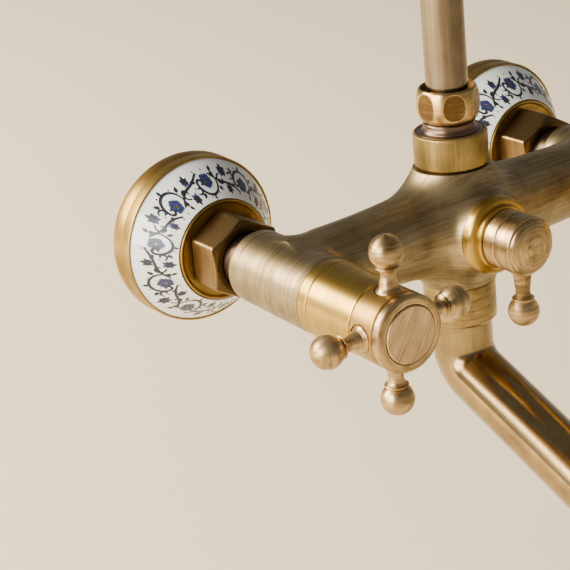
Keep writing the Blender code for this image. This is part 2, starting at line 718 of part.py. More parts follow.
def cut_waterways(name, body):
    half = INLET_SPACING / 2
    for _, label in SIDES:
        bore = turned(name + "_bore_" + label, solid_outline([
            (0, END_FRONT + 2 * MM),
            (CARTRIDGE_R + GAP, END_FRONT + 2 * MM),
            (CARTRIDGE_R + GAP, END_OUT + CARTRIDGE_SEAT),
            (WATERWAY_R, END_OUT + CARTRIDGE_SEAT),
            (WATERWAY_R, END_OUT + TAIL_SPIGOT + GAP),
            (TAIL_SPIGOT_R + GAP, END_OUT + TAIL_SPIGOT + GAP),
            (TAIL_SPIGOT_R + GAP, END_OUT - 2 * MM),
            (0, END_OUT - 2 * MM),
        ]), INLETS[label], cutter=True, phase=CUTTER_PHASE)
        combine(body, bore, 'DIFFERENCE')
    cross = rod(name + "_cross_bore", WATERWAY_R, -half, half, COLUMN, COARSE,
                turn=(0, pi / 2, 0))
    upright = turned(name + "_upright_bore", solid_outline([
        (0, NECK_HALF + 2 * MM), (NIPPLE_R + GAP, NECK_HALF + 2 * MM),
        (NIPPLE_R + GAP, NECK_HALF - NIPPLE_DEPTH - GAP),
        (WATERWAY_R, NECK_HALF - NIPPLE_DEPTH - GAP),
        (WATERWAY_R, -NECK_HALF - 2 * MM), (0, -NECK_HALF - 2 * MM),
    ]), COLUMN, cutter=True, phase=CUTTER_PHASE)
    front = rod(name + "_diverter_bore", CARTRIDGE_R + GAP, BOSS_OUT - DIVERTER_DEPTH,
                BOSS_OUT + 2 * MM, COLUMN, turn=OUT_OF_WALL)
    combine(body, cross, 'DIFFERENCE')
    combine(body, upright, 'DIFFERENCE')
    combine(body, front, 'DIFFERENCE')


# ---- Diverter --------------------------------------------------------------------
def diverter_ring(name, parent):
    back = BOSS_OUT + GAP
    front = back + DIVERTER_RING_LENGTH
    outer = [
        (DIVERTER_STEP_R, front + DIVERTER_STEP),
        (DIVERTER_STEP_R, front),
        (DIVERTER_RING_R - 1.6 * MM, front),
        (DIVERTER_RING_R, front - 1.6 * MM),
        (DIVERTER_RING_R, back),
    ]
    inner = [
        (CARTRIDGE_NECK_R + GAP, front + DIVERTER_STEP),
        (CARTRIDGE_NECK_R + GAP, back),
    ]
    return turned(name, ring_outline(outer, inner), parent)


def diverter_knob(name, parent):
    """Domed hub with one ball-ended lever, cast in one piece; it hangs down at rest."""
    back = BOSS_OUT + DIVERTER_RING_LENGTH + DIVERTER_STEP + 3 * GAP
    front = back + DIVERTER_HUB_LENGTH
    bore_end = front - DIVERTER_DOME - 2 * WALL
    knob = turned(name, solid_outline([
        (0, front), (DIVERTER_HUB_R * 0.55, front - DIVERTER_DOME * 0.15),
        (DIVERTER_HUB_R * 0.86, front - DIVERTER_DOME * 0.5),
        (DIVERTER_HUB_R, front - DIVERTER_DOME), (DIVERTER_HUB_R, back),
        (SPINDLE_R + GAP, back), (SPINDLE_R + GAP, bore_end), (0, bore_end),
    ]), parent)
    lever_points = arm_outline(DIVERTER_HUB_R * 0.8)
    lever_points += [(FOOT_R, DIVERTER_HUB_R * 0.7), (0, DIVERTER_HUB_R * 0.7)]
    lever = turned(name + "_lever", solid_outline(lever_points), parent, SMALL,
                   at=(0, 0, back + DIVERTER_HUB_LENGTH / 2), turn=(pi / 2, 0, 0),
                   cutter=True)
    combine(knob, lever, 'UNION')
    return knob


# ---- Riser, bracket and gooseneck ------------------------------------------------
def collar(name, parent, top, length, bore_r):
    """Plain round collar with softened edges."""
    ease = 0.8 * MM
    outer = [
        (COLLAR_R - ease, top), (COLLAR_R, top - ease),
        (COLLAR_R, top - length + ease / 2), (COLLAR_R - ease / 2, top - length),
    ]
    inner = [(bore_r, top), (bore_r, top - length)]
    return turned(name, ring_outline(outer, inner), parent)


def riser_nipple(name, parent):
    """Nipple that screws into the body and carries the barrel nut."""
    outer = [
        (PIPE_R, NIPPLE_TOP + PIPE_GRIP),
        (PIPE_R, NIPPLE_TOP),
        (NIPPLE_R, NIPPLE_TOP),
        (NIPPLE_R, NECK_HALF - NIPPLE_DEPTH),
    ]
    inner = [
        (NIPPLE_BORE_R, NIPPLE_TOP + PIPE_GRIP),
        (NIPPLE_BORE_R, NECK_HALF - NIPPLE_DEPTH),
    ]
    return turned(name, ring_outline(outer, inner), parent, COARSE)


def barrel_nut(name, parent, bottom):
    """Round nut with a bellied side, bored for the pipe."""
    top = bottom + BARREL_LENGTH
    bore_r = PIPE_BORE_R
    outer = [
        (BARREL_TOP_R - 0.8 * MM, top),
        (BARREL_TOP_R, top - 0.8 * MM),
        (BARREL_R - 0.3 * MM, bottom + BARREL_LENGTH * 0.68),
        (BARREL_R, bottom + BARREL_LENGTH * 0.5),
        (BARREL_R - 0.3 * MM, bottom + BARREL_LENGTH * 0.32),
        (BARREL_BOTTOM_R, bottom + 0.6 * MM),
        (BARREL_BOTTOM_R - 0.6 * MM, bottom),
    ]
    inner = [(bore_r, top), (bore_r, bottom)]
    return turned(name, ring_outline(outer, inner), parent)


def riser_pipe(name, parent):
    outer = [(PIPE_R, RISER_TOP), (PIPE_R, RISER_Z)]
    inner = [(PIPE_R - PIPE_WALL, RISER_TOP), (PIPE_R - PIPE_WALL, RISER_Z)]
    return turned(name, ring_outline(outer, inner), parent, COARSE)


def arm_path(overrun):
    """Centre line of the gooseneck in the column's own frame."""
    arch_steps = 16
    path = [Vector((0, 0, ARM_Z - overrun))]
    for i in range(arch_steps + 1):
        angle = pi * i / arch_steps
        path.append(Vector((0, -ARCH_R + ARCH_R * cos(angle), ARCH_Z + ARCH_R * sin(angle))))
    path.append(Vector((0, -ARM_REACH, ARM_END_Z - overrun)))
    return path


def shower_arm(name, parent):
    arm = tube(name, arm_path(0), PIPE_R, parent, PIPE_SIDES)
    bore_r = PIPE_R - PIPE_WALL
    bore = tube(name + "_bore", arm_path(1 * MM), bore_r, parent, PIPE_SIDES, cutter=True)
    combine(arm, bore, 'DIFFERENCE')
    return arm


def bracket_stem(name, parent):
    """Wall plug, collar and rod that reach from the wall to the riser's clamp."""
    tip = BODY_OUT - CLAMP_R - 2 * MM
    collar_out = NUT_OUT
    outline = solid_outline([
        (0, tip), (STEM_R, tip), (STEM_R, collar_out + STEM_COLLAR + 1.5 * MM),
        (STEM_R + 1.5 * MM, collar_out + STEM_COLLAR),
        (STEM_COLLAR_R - 1.0 * MM, collar_out + STEM_COLLAR),
        (STEM_COLLAR_R, collar_out + STEM_COLLAR - 1.0 * MM),
        (STEM_COLLAR_R, collar_out), (THREAD_R, collar_out), (THREAD_R, GAP), (0, GAP),
    ])
    return turned(name, outline, parent)


def bracket_clamp(name, parent):
    """Ring round the riser with a socket for the stem."""
    bore_r = PIPE_BORE_R
    half = CLAMP_HEIGHT / 2
    ease = 1.0 * MM
    ring = turned(name, solid_outline([
        (0, half), (CLAMP_R - ease, half), (CLAMP_R, half - ease),
        (CLAMP_R, ease - half), (CLAMP_R - ease, -half), (0, -half),
    ]), parent)
    to_wall = (-pi / 2, 0, 0)
    socket = rod(name + "_socket", CLAMP_SOCKET_R, 0, CLAMP_R + CLAMP_SOCKET, parent,
                 turn=to_wall)
    stem_bore = rod(name + "_stem_bore", STEM_R + GAP, CLAMP_R + 2 * MM - GAP,
                    CLAMP_R + 2 * CLAMP_SOCKET, parent, turn=to_wall)
    pipe_bore = rod(name + "_pipe_bore", bore_r, -CLAMP_HEIGHT, CLAMP_HEIGHT, parent)
    combine(ring, socket, 'UNION')
    combine(ring, stem_bore, 'DIFFERENCE')
    combine(ring, pipe_bore, 'DIFFERENCE')
    return ring


# ---- Rain head -------------------------------------------------------------------
def head_ball(name, parent):
    """Socket on the end of the gooseneck, with the ball that the head hangs from."""
    socket_bottom = HEAD_STEM
    socket_top = socket_bottom + HEAD_SOCKET
    seat = ARM_END_Z - BALL_Z - GAP
    bore_r = PIPE_BORE_R
    lowest = -pi / 2
    neck_angle = pi / 2 - 0.48
    ball = arc(0, 0, HEAD_BALL_R, neck_angle, lowest, 7)
    ball[-1] = (0, -HEAD_BALL_R)
    points = [
        (0, seat), (bore_r, seat), (bore_r, socket_top),
        (HEAD_SOCKET_R - 0.5 * MM, socket_top), (HEAD_SOCKET_R, socket_top - 0.5 * MM),
        (HEAD_SOCKET_R, socket_bottom + 1.5 * MM),
        (HEAD_SOCKET_R - 1.5 * MM, socket_bottom), (HEAD_STEM_R, socket_bottom),
    ]
    return turned(name, solid_outline(points + ball), parent)


def ball_seat(name, parent):
    """Plastic ring with a round inside on the ball and a round outside in the nut."""
    inside_r = HEAD_BALL_R + RUN_GAP
    outside_r = inside_r + SEAT_WALL

    def zone(radius):
        points = []
        for share in (1, 0.5, 0, -0.5, -1):
            height = SEAT_HALF * share
            points.append((sqrt(radius * radius - height * height), height))
        return points
    return turned(name, ring_outline(zone(outside_r), zone(inside_r)), parent)


def head_nut(name, parent):
    """Nut that keeps the ball and its seat in the head."""
    cavity_r = HEAD_BALL_R + SEAT_WALL + 2 * RUN_GAP
    mouth = HEAD_NUT_TOP - 0.5 * MM
    skirt_r = HEAD_THREAD_R + GAP
    outer = [
        (HEAD_NUT_R - 2.5 * MM, HEAD_NUT_TOP),
        (HEAD_NUT_R, HEAD_NUT_TOP - 3.0 * MM),
        (HEAD_NUT_R, HEAD_THREAD_END + 0.8 * MM),
        (HEAD_NUT_R - 0.8 * MM, HEAD_THREAD_END),
    ]
    inner = [(sqrt(cavity_r ** 2 - mouth ** 2), HEAD_NUT_TOP)]
    for share in (1, 0.66, 0.33, 0):
        height = mouth * share
        inner.append((sqrt(cavity_r ** 2 - height ** 2), height))
    inner += [
        (cavity_r, HEAD_THREAD_TOP + GAP),
        (skirt_r, HEAD_THREAD_TOP + GAP),
        (skirt_r, HEAD_THREAD_END),
    ]
    return turned(name, ring_outline(outer, inner), parent, FINE)


def head_heights():
    """Heights of the shell's shoulder, its rim's top and its rim's bottom."""
    shoulder = HEAD_THREAD_END - GAP
    rim_top = shoulder - 5 * MM - HEAD_CROWN
    return shoulder, rim_top, rim_top - HEAD_RIM


def head_shell(name, parent):
    """Shallow dome with a threaded neck, open underneath."""
    shoulder, rim_top, rim_bottom = head_heights()
    rise = 5 * MM
    dome_outer = []
    dome_inner = []
    steps = 4
    for i in range(steps + 1):
        share = i / steps
        radius = HEAD_SHOULDER_R + (HEAD_R - 2 * MM - HEAD_SHOULDER_R) * share
        height = shoulder - rise - HEAD_CROWN * share ** 1.8
        dome_outer.append((radius, height))
        dome_inner.append((radius - WALL * 0.3, height - WALL))
    outer = [
        (HEAD_THREAD_R, HEAD_THREAD_TOP),
        (HEAD_THREAD_R, shoulder),
        (HEAD_SHOULDER_R - 1.5 * MM, shoulder),
    ]
    outer += dome_outer + [(HEAD_R, rim_top - 2 * MM), (HEAD_R, rim_bottom)]
    inner = [
        (HEAD_THROAT_R, HEAD_THREAD_TOP),
        (HEAD_THROAT_R, shoulder - rise),
    ]
    inner += dome_inner + [(HEAD_R - WALL, rim_top - 3 * MM), (HEAD_R - WALL, rim_bottom)]
    return turned(name, ring_outline(outer, inner), parent, FINE)


def head_disc(name, parent, radius, top, thick):
    outline = solid_outline([
        (0, top), (radius, top), (radius, top - thick), (0, top - thick),
    ])
    return turned(name, outline, parent, FINE)


# ---- Spout -----------------------------------------------------------------------
def spout_path(start_overrun, end_overrun):
    """Centre line of the spout: down, forward, along, and down again at the mouth."""
    def bend(path, heading, turn, radius, steps):
        for _ in range(steps):
            half_step = turn / steps / 2
            chord = 2 * radius * sin(abs(half_step))
            heading += half_step
            step = Vector((0, -sin(heading), -cos(heading))) * chord
            path.append(path[-1] + step)
            heading += half_step
        return heading
    heading = 0.0
    path = [Vector((0, 0, SPOUT_Z + start_overrun))]
    path.append(Vector((0, 0, SPOUT_Z - SPOUT_START)))
    heading = bend(path, heading, SPOUT_BEND, SPOUT_BEND_R, 6)
    along = Vector((0, -sin(heading), -cos(heading)))
    path.append(path[-1] + along * SPOUT_RUN)
    heading = bend(path, heading, -SPOUT_NOSE, SPOUT_NOSE_R, 5)
    along = Vector((0, -sin(heading), -cos(heading)))
    path.append(path[-1] + along * (SPOUT_MOUTH + end_overrun))
    return path, heading


def spout(name, parent):
    """Cast swivel spout: a fat bent tube with a tenon that turns in the collar."""
    path, heading = spout_path(0, 0)
    shell = tube(name, path, SPOUT_R, parent, COARSE)
    tenon = rod(name + "_tenon", SPOUT_TENON_R, SPOUT_Z - SPOUT_START, SPOUT_Z + SPOUT_TENON,
                parent, COARSE)
    inner_path, _ = spout_path(SPOUT_TENON + 2 * MM, 2 * MM)
    bore = tube(name + "_bore", inner_path, WATERWAY_R, parent, PIPE_SIDES, cutter=True)
    tilt = (pi - heading, 0, 0)
    outlet = rod(name + "_outlet", AERATOR_R + GAP, -AERATOR_LENGTH - GAP, 2 * MM, parent,
                 COARSE, at=path[-1], turn=tilt)
    combine(shell, tenon, 'UNION')
    combine(shell, bore, 'DIFFERENCE')
    combine(shell, outlet, 'DIFFERENCE')
    return shell


def aerator(name, parent):
    """Threaded ring with its flow straightener, in the mouth of the spout."""
    path, heading = spout_path(0, 0)
    outer = [(AERATOR_R, AERATOR_PROUD), (AERATOR_R, -AERATOR_LENGTH)]
    inner = [(WATERWAY_R, AERATOR_PROUD), (WATERWAY_R, -AERATOR_LENGTH)]
    return turned(name, ring_outline(outer, inner), parent, COARSE, at=path[-1],
                  turn=(pi - heading, 0, 0))


# ---- Assembly --------------------------------------------------------------------
SIDES = ((-1, "left"), (1, "right"))
COLUMN = axis_empty("column_axis", (0, -BODY_OUT, 0))
INLETS = {}
for side, label in SIDES:
    place = (side * INLET_SPACING / 2, 0, 0)
    INLETS[label] = axis_empty("inlet_axis_" + label, place, OUT_OF_WALL)


def build_side(side, label, finishes):
    """Everything on one inlet, from the wall to the front of its handle."""
    base = INLETS[label]
    handle = axis_empty("handle_axis_" + label, (0, 0, HUB_MIDDLE), parent=base)
    cartridge_out = END_OUT + CARTRIDGE_SEAT + GAP
    neck_front = RING_OUT + CARTRIDGE_NECK
    disc_out = cartridge_out + GAP - HUB_MIDDLE
    pieces = [
        (wall_flange("wall_flange_" + label, base), "brass"),
        (ceramic_rosette("ceramic_rosette_" + label, base), "ceramic"),
        (eccentric_union("eccentric_union_" + label, base, side), "dark"),
        (union_washer("union_washer_" + label, base), "rubber"),
        (union_nut("union_nut_" + label, base), "dark"),
        (inlet_tail("inlet_tail_" + label, base), "dark"),
        (valve_cartridge("cartridge_" + label, base, cartridge_out, END_FRONT, neck_front), "gold"),
        (bonnet_ring("bonnet_ring_" + label, base), "gold"),
        (bonnet_sleeve("bonnet_sleeve_" + label, base), "gold"),
        (valve_spindle("spindle_" + label, handle, disc_out, SPINDLE_TIP - HUB_MIDDLE), "gold"),
        (handle_hub("handle_hub_" + label, handle), "rose"),
        (handle_cap("handle_cap_" + label, handle), "rose"),
        (index_disc("index_disc_" + label, handle), "rose"),
        (handle_screw("handle_screw_" + label, handle), "steel"),
    ]
    for number in range(ARMS):
        name = "handle_arm_%d_%s" % (number + 1, label)
        pieces.append((handle_arm(name, handle, number), "rose"))
    for piece, finish in pieces:
        paint(piece, finishes[finish])


def build_diverter(finishes):
    axis = axis_empty("diverter_axis", (0, -BODY_OUT, 0), OUT_OF_WALL)
    back = BOSS_OUT - DIVERTER_DEPTH + GAP
    neck_front = BOSS_OUT + DIVERTER_RING_LENGTH + DIVERTER_STEP
    tip = BOSS_OUT + DIVERTER_RING_LENGTH + DIVERTER_STEP + DIVERTER_HUB_LENGTH / 2
    cartridge = valve_cartridge("diverter_cartridge", axis, back, BOSS_OUT, neck_front)
    paint(cartridge, finishes["gold"])
    paint(diverter_ring("diverter_ring", axis), finishes["brass"])
    paint(valve_spindle("diverter_spindle", axis, back + GAP, tip), finishes["gold"])
    paint(diverter_knob("diverter_knob", axis), finishes["rose"])


def build_column(finishes):
    paint(mixer_body("mixer_body"), finishes["brass"])
    top = TOP_COLLAR_Z + TOP_COLLAR_LENGTH
    paint(collar("top_collar", COLUMN, top, TOP_COLLAR_LENGTH, NIPPLE_R + GAP), finishes["gold"])
    paint(riser_nipple("riser_nipple", COLUMN), finishes["dark"])
    paint(barrel_nut("riser_nut", COLUMN, BARREL_Z), finishes["gold"])
    paint(riser_pipe("riser_pipe", COLUMN), finishes["dark"])
    paint(barrel_nut("arm_nut", COLUMN, RISER_TOP - BARREL_LENGTH / 2), finishes["gold"])
    paint(shower_arm("shower_arm", COLUMN), finishes["dark"])


def build_bracket(finishes):
    base = axis_empty("bracket_axis", (0, 0, BRACKET_HEIGHT), OUT_OF_WALL)
    ring = axis_empty("bracket_ring_axis", (0, -BODY_OUT, BRACKET_HEIGHT))
    paint(wall_flange("bracket_flange", base), finishes["brass"])
    paint(ceramic_rosette("bracket_rosette", base), finishes["ceramic"])
    paint(bracket_stem("bracket_stem", base), finishes["brass"])
    paint(bracket_clamp("bracket_clamp", ring), finishes["brass"])


def build_head(finishes):
    pivot = axis_empty("head_pivot", (0, -BODY_OUT - ARM_REACH, BALL_Z))
    _, _, rim_bottom = head_heights()
    plate_r = HEAD_R - WALL - GAP
    mat_top = rim_bottom + FACE_THICK + GAP + MAT_THICK
    paint(head_ball("head_ball", pivot), finishes["brass"])
    paint(ball_seat("ball_seat", pivot), finishes["plastic"])
    paint(head_nut("head_nut", pivot), finishes["brass"])
    paint(head_shell("head_shell", pivot), finishes["brass"])
    face = head_disc("head_face", pivot, plate_r, rim_bottom + FACE_THICK, FACE_THICK)
    paint(face, finishes["brass"])
    mat = head_disc("nozzle_mat", pivot, plate_r - 2 * MM, mat_top, MAT_THICK)
    paint(mat, finishes["rubber"])


def build_spout(finishes):
    bore_r = SPOUT_TENON_R + RUN_GAP
    paint(collar("spout_collar", COLUMN, SPOUT_COLLAR_Z, SPOUT_COLLAR_LENGTH, bore_r),
          finishes["gold"])
    paint(spout("spout", COLUMN), finishes["brass"])
    paint(aerator("aerator", COLUMN), finishes["dark"])


def build():
    finishes = {
        "brass": material("brushed_antique_brass", BRASS, 0.35, 1.0),
        "rose": material("rose_antique_brass", ROSE_BRASS, 0.32, 1.0),
        "gold": material("gold_brass", GOLD_BRASS, 0.32, 1.0),
        "dark": material("dark_antique_brass", DARK_BRASS, 0.38, 1.0),
        "ceramic": material("glazed_ceramic", (0.9, 0.91, 0.92), 0.08, 0.0),
        "rubber": material("black_rubber", (0.03, 0.03, 0.03), 0.8, 0.0),
        "plastic": material("white_plastic", (0.8, 0.8, 0.78), 0.4, 0.0),
        "steel": material("stainless_steel", (0.6, 0.6, 0.6), 0.3, 1.0),
    }
    for side, label in SIDES:
        build_side(side, label, finishes)
    build_column(finishes)
    build_diverter(finishes)
    build_bracket(finishes)
    build_head(finishes)
    build_spout(finishes)


build()
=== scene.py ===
"""Rainfall shower column, finished: brushed antique brass, glazed rosettes and a rain head.

Every piece is made round its own axis in millimetres, then set in the column's frame:
the wall is the plane Y = 0, -Y comes out of the wall, +X is the right-hand inlet, +Z is up.
"Out" is a distance out of the wall.
"""

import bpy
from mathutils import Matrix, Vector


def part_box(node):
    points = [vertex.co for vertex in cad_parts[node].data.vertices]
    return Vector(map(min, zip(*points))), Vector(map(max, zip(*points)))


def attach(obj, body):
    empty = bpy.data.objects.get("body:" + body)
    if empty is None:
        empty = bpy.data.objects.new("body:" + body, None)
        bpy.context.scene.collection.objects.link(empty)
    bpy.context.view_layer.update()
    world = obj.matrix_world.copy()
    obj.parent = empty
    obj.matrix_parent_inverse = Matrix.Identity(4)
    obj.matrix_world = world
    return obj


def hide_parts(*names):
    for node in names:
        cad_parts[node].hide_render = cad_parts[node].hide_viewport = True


bl_info = {
    "name": "Rainfall shower column",
    "version": (1, 0, 0),
    "blender": (4, 5, 0),
    "location": "3D View > Sidebar > Shower",
    "description": "Finishes the pieces of a wall-mounted rainfall shower column",
    "category": "Object",
}

from math import cos, pi, radians, sin, sqrt, tan

import bmesh
import bpy
import numpy as np
from bpy.props import FloatProperty, FloatVectorProperty, IntProperty, PointerProperty
from mathutils import Matrix, Vector

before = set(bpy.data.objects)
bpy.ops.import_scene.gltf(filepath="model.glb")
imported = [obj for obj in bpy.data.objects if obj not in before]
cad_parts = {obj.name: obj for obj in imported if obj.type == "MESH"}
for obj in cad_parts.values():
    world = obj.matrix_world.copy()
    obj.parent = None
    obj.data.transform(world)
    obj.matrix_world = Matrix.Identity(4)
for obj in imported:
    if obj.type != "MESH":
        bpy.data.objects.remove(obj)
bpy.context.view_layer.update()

MM = 0.001
SIDES = ("left", "right")
ARMS = 4
FINISHES = {}                   # material name: material, filled by the finishes operator


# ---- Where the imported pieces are, in millimetres
def out_of(node):
    """Back and front of a node, as distances out of the wall."""
    low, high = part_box(node)
    return -high.y / MM, -low.y / MM


def rise_of(node):
    """Bottom and top of a node."""
    low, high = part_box(node)
    return low.z / MM, high.z / MM


def radius_of(node):
    """Half the width of a node."""
    low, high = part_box(node)
    return (high.x - low.x) / 2 / MM


def centre_of(node):
    """Middle of a node's box."""
    low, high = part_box(node)
    return (low + high) / 2 / MM


def full_turn(sides):
    """Angles of the points round one ring."""
    return np.arange(sides) * 2 * pi / sides


def new_object(name, data):
    """An object in the scene, at the origin."""
    made = bpy.data.objects.new(name, data)
    bpy.context.scene.collection.objects.link(made)
    return made


def out_place(x, z):
    """A piece's own +Z comes out of the wall at (x, z), and its own +Y points up."""
    return Matrix.Translation((x, 0, z)) @ Matrix.Rotation(pi / 2, 4, 'X')


BODY_OUT = -centre_of("riser_pipe").y
COLUMN = Matrix.Translation((0, -BODY_OUT, 0))


def inlet_place(side):
    """The axis of an inlet, which its barrel and handle share."""
    return out_place(centre_of("wall_flange_" + side).x, 0.0)


# ---- Colour and nodes
def linear(code):
    """Linear red, green and blue of an sRGB hex colour."""
    values = [int(code[i:i + 2], 16) / 255 for i in (1, 3, 5)]
    return [v / 12.92 if v <= 0.04045 else ((v + 0.055) / 1.055) ** 2.4 for v in values]


def add(tree, kind, settings, inputs):
    """Adds a node, sets its settings, and fills or links its inputs.

    A node given as an input is linked from its first output.
    """
    made = tree.nodes.new(kind)
    for name, value in settings.items():
        setattr(made, name, value)
    for name, value in inputs.items():
        if isinstance(value, bpy.types.Node):
            value = value.outputs[0]
        if isinstance(value, bpy.types.NodeSocket):
            tree.links.new(value, made.inputs[name])
        else:
            made.inputs[name].default_value = value
    return made


# ---- Turned outlines
def arc(centre_r, centre_h, radius, start, end, steps):
    """Points on an arc; angles in degrees run from the outward direction, up positive."""
    points = []
    for i in range(steps + 1):
        angle = radians(start + (end - start) * i / steps)
        points.append((centre_r + radius * cos(angle), centre_h + radius * sin(angle)))
    return points


def eased(points, ease, closed):
    """Rounds the corners of an outline as a deburring tool does.

    Returns the new points and how worn each is: 1 on a rounded outside corner, where
    the patina is rubbed off, and -1 in an inside corner, where it stays.
    """
    points = [Vector(p) for p in points]
    points = [p for i, p in enumerate(points) if not i or (p - points[i - 1]).length > 0.01]
    count = len(points)
    area = sum(points[i - 1].x * points[i].y - points[i].x * points[i - 1].y
               for i in range(count))
    made, worn = [], []

    def put(point, wear_and_painted_light):
        made.append((max(point.x, 0.0), point.y))
        worn.append(wear_and_painted_light)
    for i, point in enumerate(points):
        if not closed and i in (0, count - 1):
            put(point, 0.0)
            continue
        before = points[i - 1] - point
        after = points[(i + 1) % count] - point
        room = 0.4 * min(before.length, after.length)
        turn = pi - before.angle(after)
        trim = min(ease * tan(min(turn, 2.6) / 2), room)
        if turn < radians(14) or trim < 0.01:
            put(point, 0.0)
            continue
        cross = -(before.x * after.y - before.y * after.x)
        wear_and_painted_light = 1.0 if cross * area > 0 else -1.0
        u, w = before.normalized(), after.normalized()
        if room > 1.5 * trim:
            put(point + u * trim * 1.5, 0.0)
        for share in (0.0, 0.33, 0.67, 1.0):
            a = (point + u * trim).lerp(point, share)
            b = point.lerp(point + w * trim, share)
            put(a.lerp(b, share), wear_and_painted_light)
        if room > 1.5 * trim:
            put(point + w * trim * 1.5, 0.0)
    return made, worn


def skin(name, rings, worn, closed, place, upright=False):
    """A closed mesh over rings of points, in mm in the piece's own frame.

    Three attributes follow the way the piece was finished: "lay" holds, in mm, where a
    point is round the piece (x, y) and along its outline (z), "brush" points along the
    brushed lines, and "wear" says how far the patina is rubbed off; on the barrel nuts it
    also holds painted shade on the spanner flats and a painted highlight round them. An
    upright piece was brushed along its outline, the others round their axis.
    """
    rings = np.asarray(rings, float)
    rows, sides = rings.shape[:2]
    steps = np.linalg.norm(np.diff(rings, axis=0), axis=2).mean(axis=1)
    along = np.concatenate([[0.0], np.cumsum(steps)])
    round_r = np.abs(rings - rings.mean(axis=1, keepdims=True)).max()
    turn = full_turn(sides)
    lay = np.empty((rows, sides, 3))
    lay[..., 0] = np.cos(turn)[None, :] * round_r
    lay[..., 1] = np.sin(turn)[None, :] * round_r
    lay[..., 2] = along[:, None]
    if upright:
        lay = lay[..., [2, 0, 1]]
        brush = np.gradient(rings, axis=0)
    else:
        brush = np.roll(rings, -1, 1) - np.roll(rings, 1, 1)
    matrix = np.array(place, float)
    brush = brush @ matrix[:3, :3].T
    brush /= np.maximum(np.linalg.norm(brush, axis=2, keepdims=True), 1e-6)
    points = (rings.reshape(-1, 3) @ matrix[:3, :3].T + matrix[:3, 3]) * MM
    index = np.arange(rows * sides).reshape(rows, sides)
    lower = np.roll(index, -1, axis=0) if closed else index[1:]
    upper = index if closed else index[:-1]
    faces = np.stack([upper, np.roll(upper, -1, 1), np.roll(lower, -1, 1), lower], axis=-1)
    mesh = bpy.data.meshes.new(name)
    mesh.from_pydata(points.tolist(), [], faces.reshape(-1, 4).tolist())
    worn = np.asarray(worn, float)
    if worn.ndim == 1:
        worn = np.repeat(worn[:, None], sides, 1)
    keep(mesh, lay, brush, worn)
    tidy(mesh)
    return new_object(name, mesh)


def keep(mesh, lay, brush, worn):
    """Writes the three finishing attributes, one value per point."""
    for name, values in (("lay", lay), ("brush", brush)):
        layer = mesh.attributes.get(name) or mesh.attributes.new(name, 'FLOAT_VECTOR', 'POINT')
        layer.data.foreach_set("vector", values.reshape(-1).astype(np.float32))
    layer = mesh.attributes.get("wear_and_painted_light") or mesh.attributes.new("wear_and_painted_light", 'FLOAT', 'POINT')
    layer.data.foreach_set("value", worn.reshape(-1).astype(np.float32))


def points_of(mesh):
    """A mesh's points, in mm."""
    values = np.empty(len(mesh.vertices) * 3, np.float32)
    mesh.vertices.foreach_get("co", values)
    return values.reshape(-1, 3).astype(float) / MM


def tidy(mesh):
    """Merges the points that meet at a pole, turns faces outwards and shades smoothly."""
    work = bmesh.new()
    work.from_mesh(mesh)
    bmesh.ops.remove_doubles(work, verts=work.verts, dist=1e-7)
    bmesh.ops.recalc_face_normals(work, faces=work.faces)
    for face in work.faces:
        face.smooth = True
    work.to_mesh(mesh)
    work.free()


def turned(name, outline, place, closed=True, sides=96, ease=0.35, upright=False):
    """Revolves an outline of (radius, height) points about the piece's own Z axis."""
    points, worn = eased(outline, ease, closed)
    turn = full_turn(sides)
    profile = np.array(points)
    rings = np.empty((len(points), sides, 3))
    rings[..., 0] = profile[:, :1] * np.cos(turn)
    rings[..., 1] = profile[:, :1] * np.sin(turn)
    rings[..., 2] = profile[:, 1:]
    return skin(name, rings, worn, closed, place, upright)


def along_path(path, headings, radii, sides):
    """Rings round a centre line in the YZ plane. A heading is 0 straight down."""
    turn = full_turn(sides)
    rings = np.empty((len(path), sides, 3))
    for i, ((y, z), heading, radius) in enumerate(zip(path, headings, radii)):
        rings[i, :, 0] = radius * np.cos(turn)
        rings[i, :, 1] = y + radius * np.sin(turn) * cos(heading)
        rings[i, :, 2] = z - radius * np.sin(turn) * sin(heading)
    return rings


def cut(piece, cutters, operation='DIFFERENCE'):
    """Takes each cutter from a piece, or joins it on, and leaves a plain mesh."""
    # the solver is surer at the scale of millimetres
    for solid in [piece] + cutters:
        solid.data.transform(Matrix.Scale(1 / MM, 4))
    for cutter in cutters:
        step = piece.modifiers.new("cut", 'BOOLEAN')
        step.operation = operation
        step.solver = 'EXACT'
        step.object = cutter
    settle(piece)
    piece.data.transform(Matrix.Scale(MM, 4))
    for cutter in cutters:
        bpy.data.objects.remove(cutter, do_unlink=True)
    return piece


def settle(piece):
    """Replaces a piece's mesh by what its modifiers make of it."""
    bpy.context.view_layer.update()
    evaluated = piece.evaluated_get(bpy.context.evaluated_depsgraph_get())
    mesh = bpy.data.meshes.new_from_object(evaluated)
    piece.modifiers.clear()
    piece.data = mesh
    return piece


def crisp(piece, degrees=32):
    """Smooth sides with crisp edges where the surface really turns."""
    for face in piece.data.polygons:
        face.use_smooth = True
    piece.data.set_sharp_from_angle(angle=radians(degrees))
    return piece


def fit(piece, body, slot, finish, *nodes):
    """Gives a piece its finish, sets it on the body it rides on, and hides the packed pieces it
    stands for.
    """
    piece.data.materials.clear()
    piece.data.materials.append(FINISHES[finish])
    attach(piece, body)
    if nodes:
        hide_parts(*nodes)
    return piece


def lathe(node, outline, place, slot, finish, body="column", **shape):
    """A turned piece that stands for a packed one."""
    return fit(turned(node + "_shown", outline, place, **shape), body, slot, finish, node)


# ---- Finishes
def new_material(name):
    """An empty material and its tree."""
    made = bpy.data.materials.new(name)
    made.use_nodes = True
    made.node_tree.nodes.clear()
    return made, made.node_tree


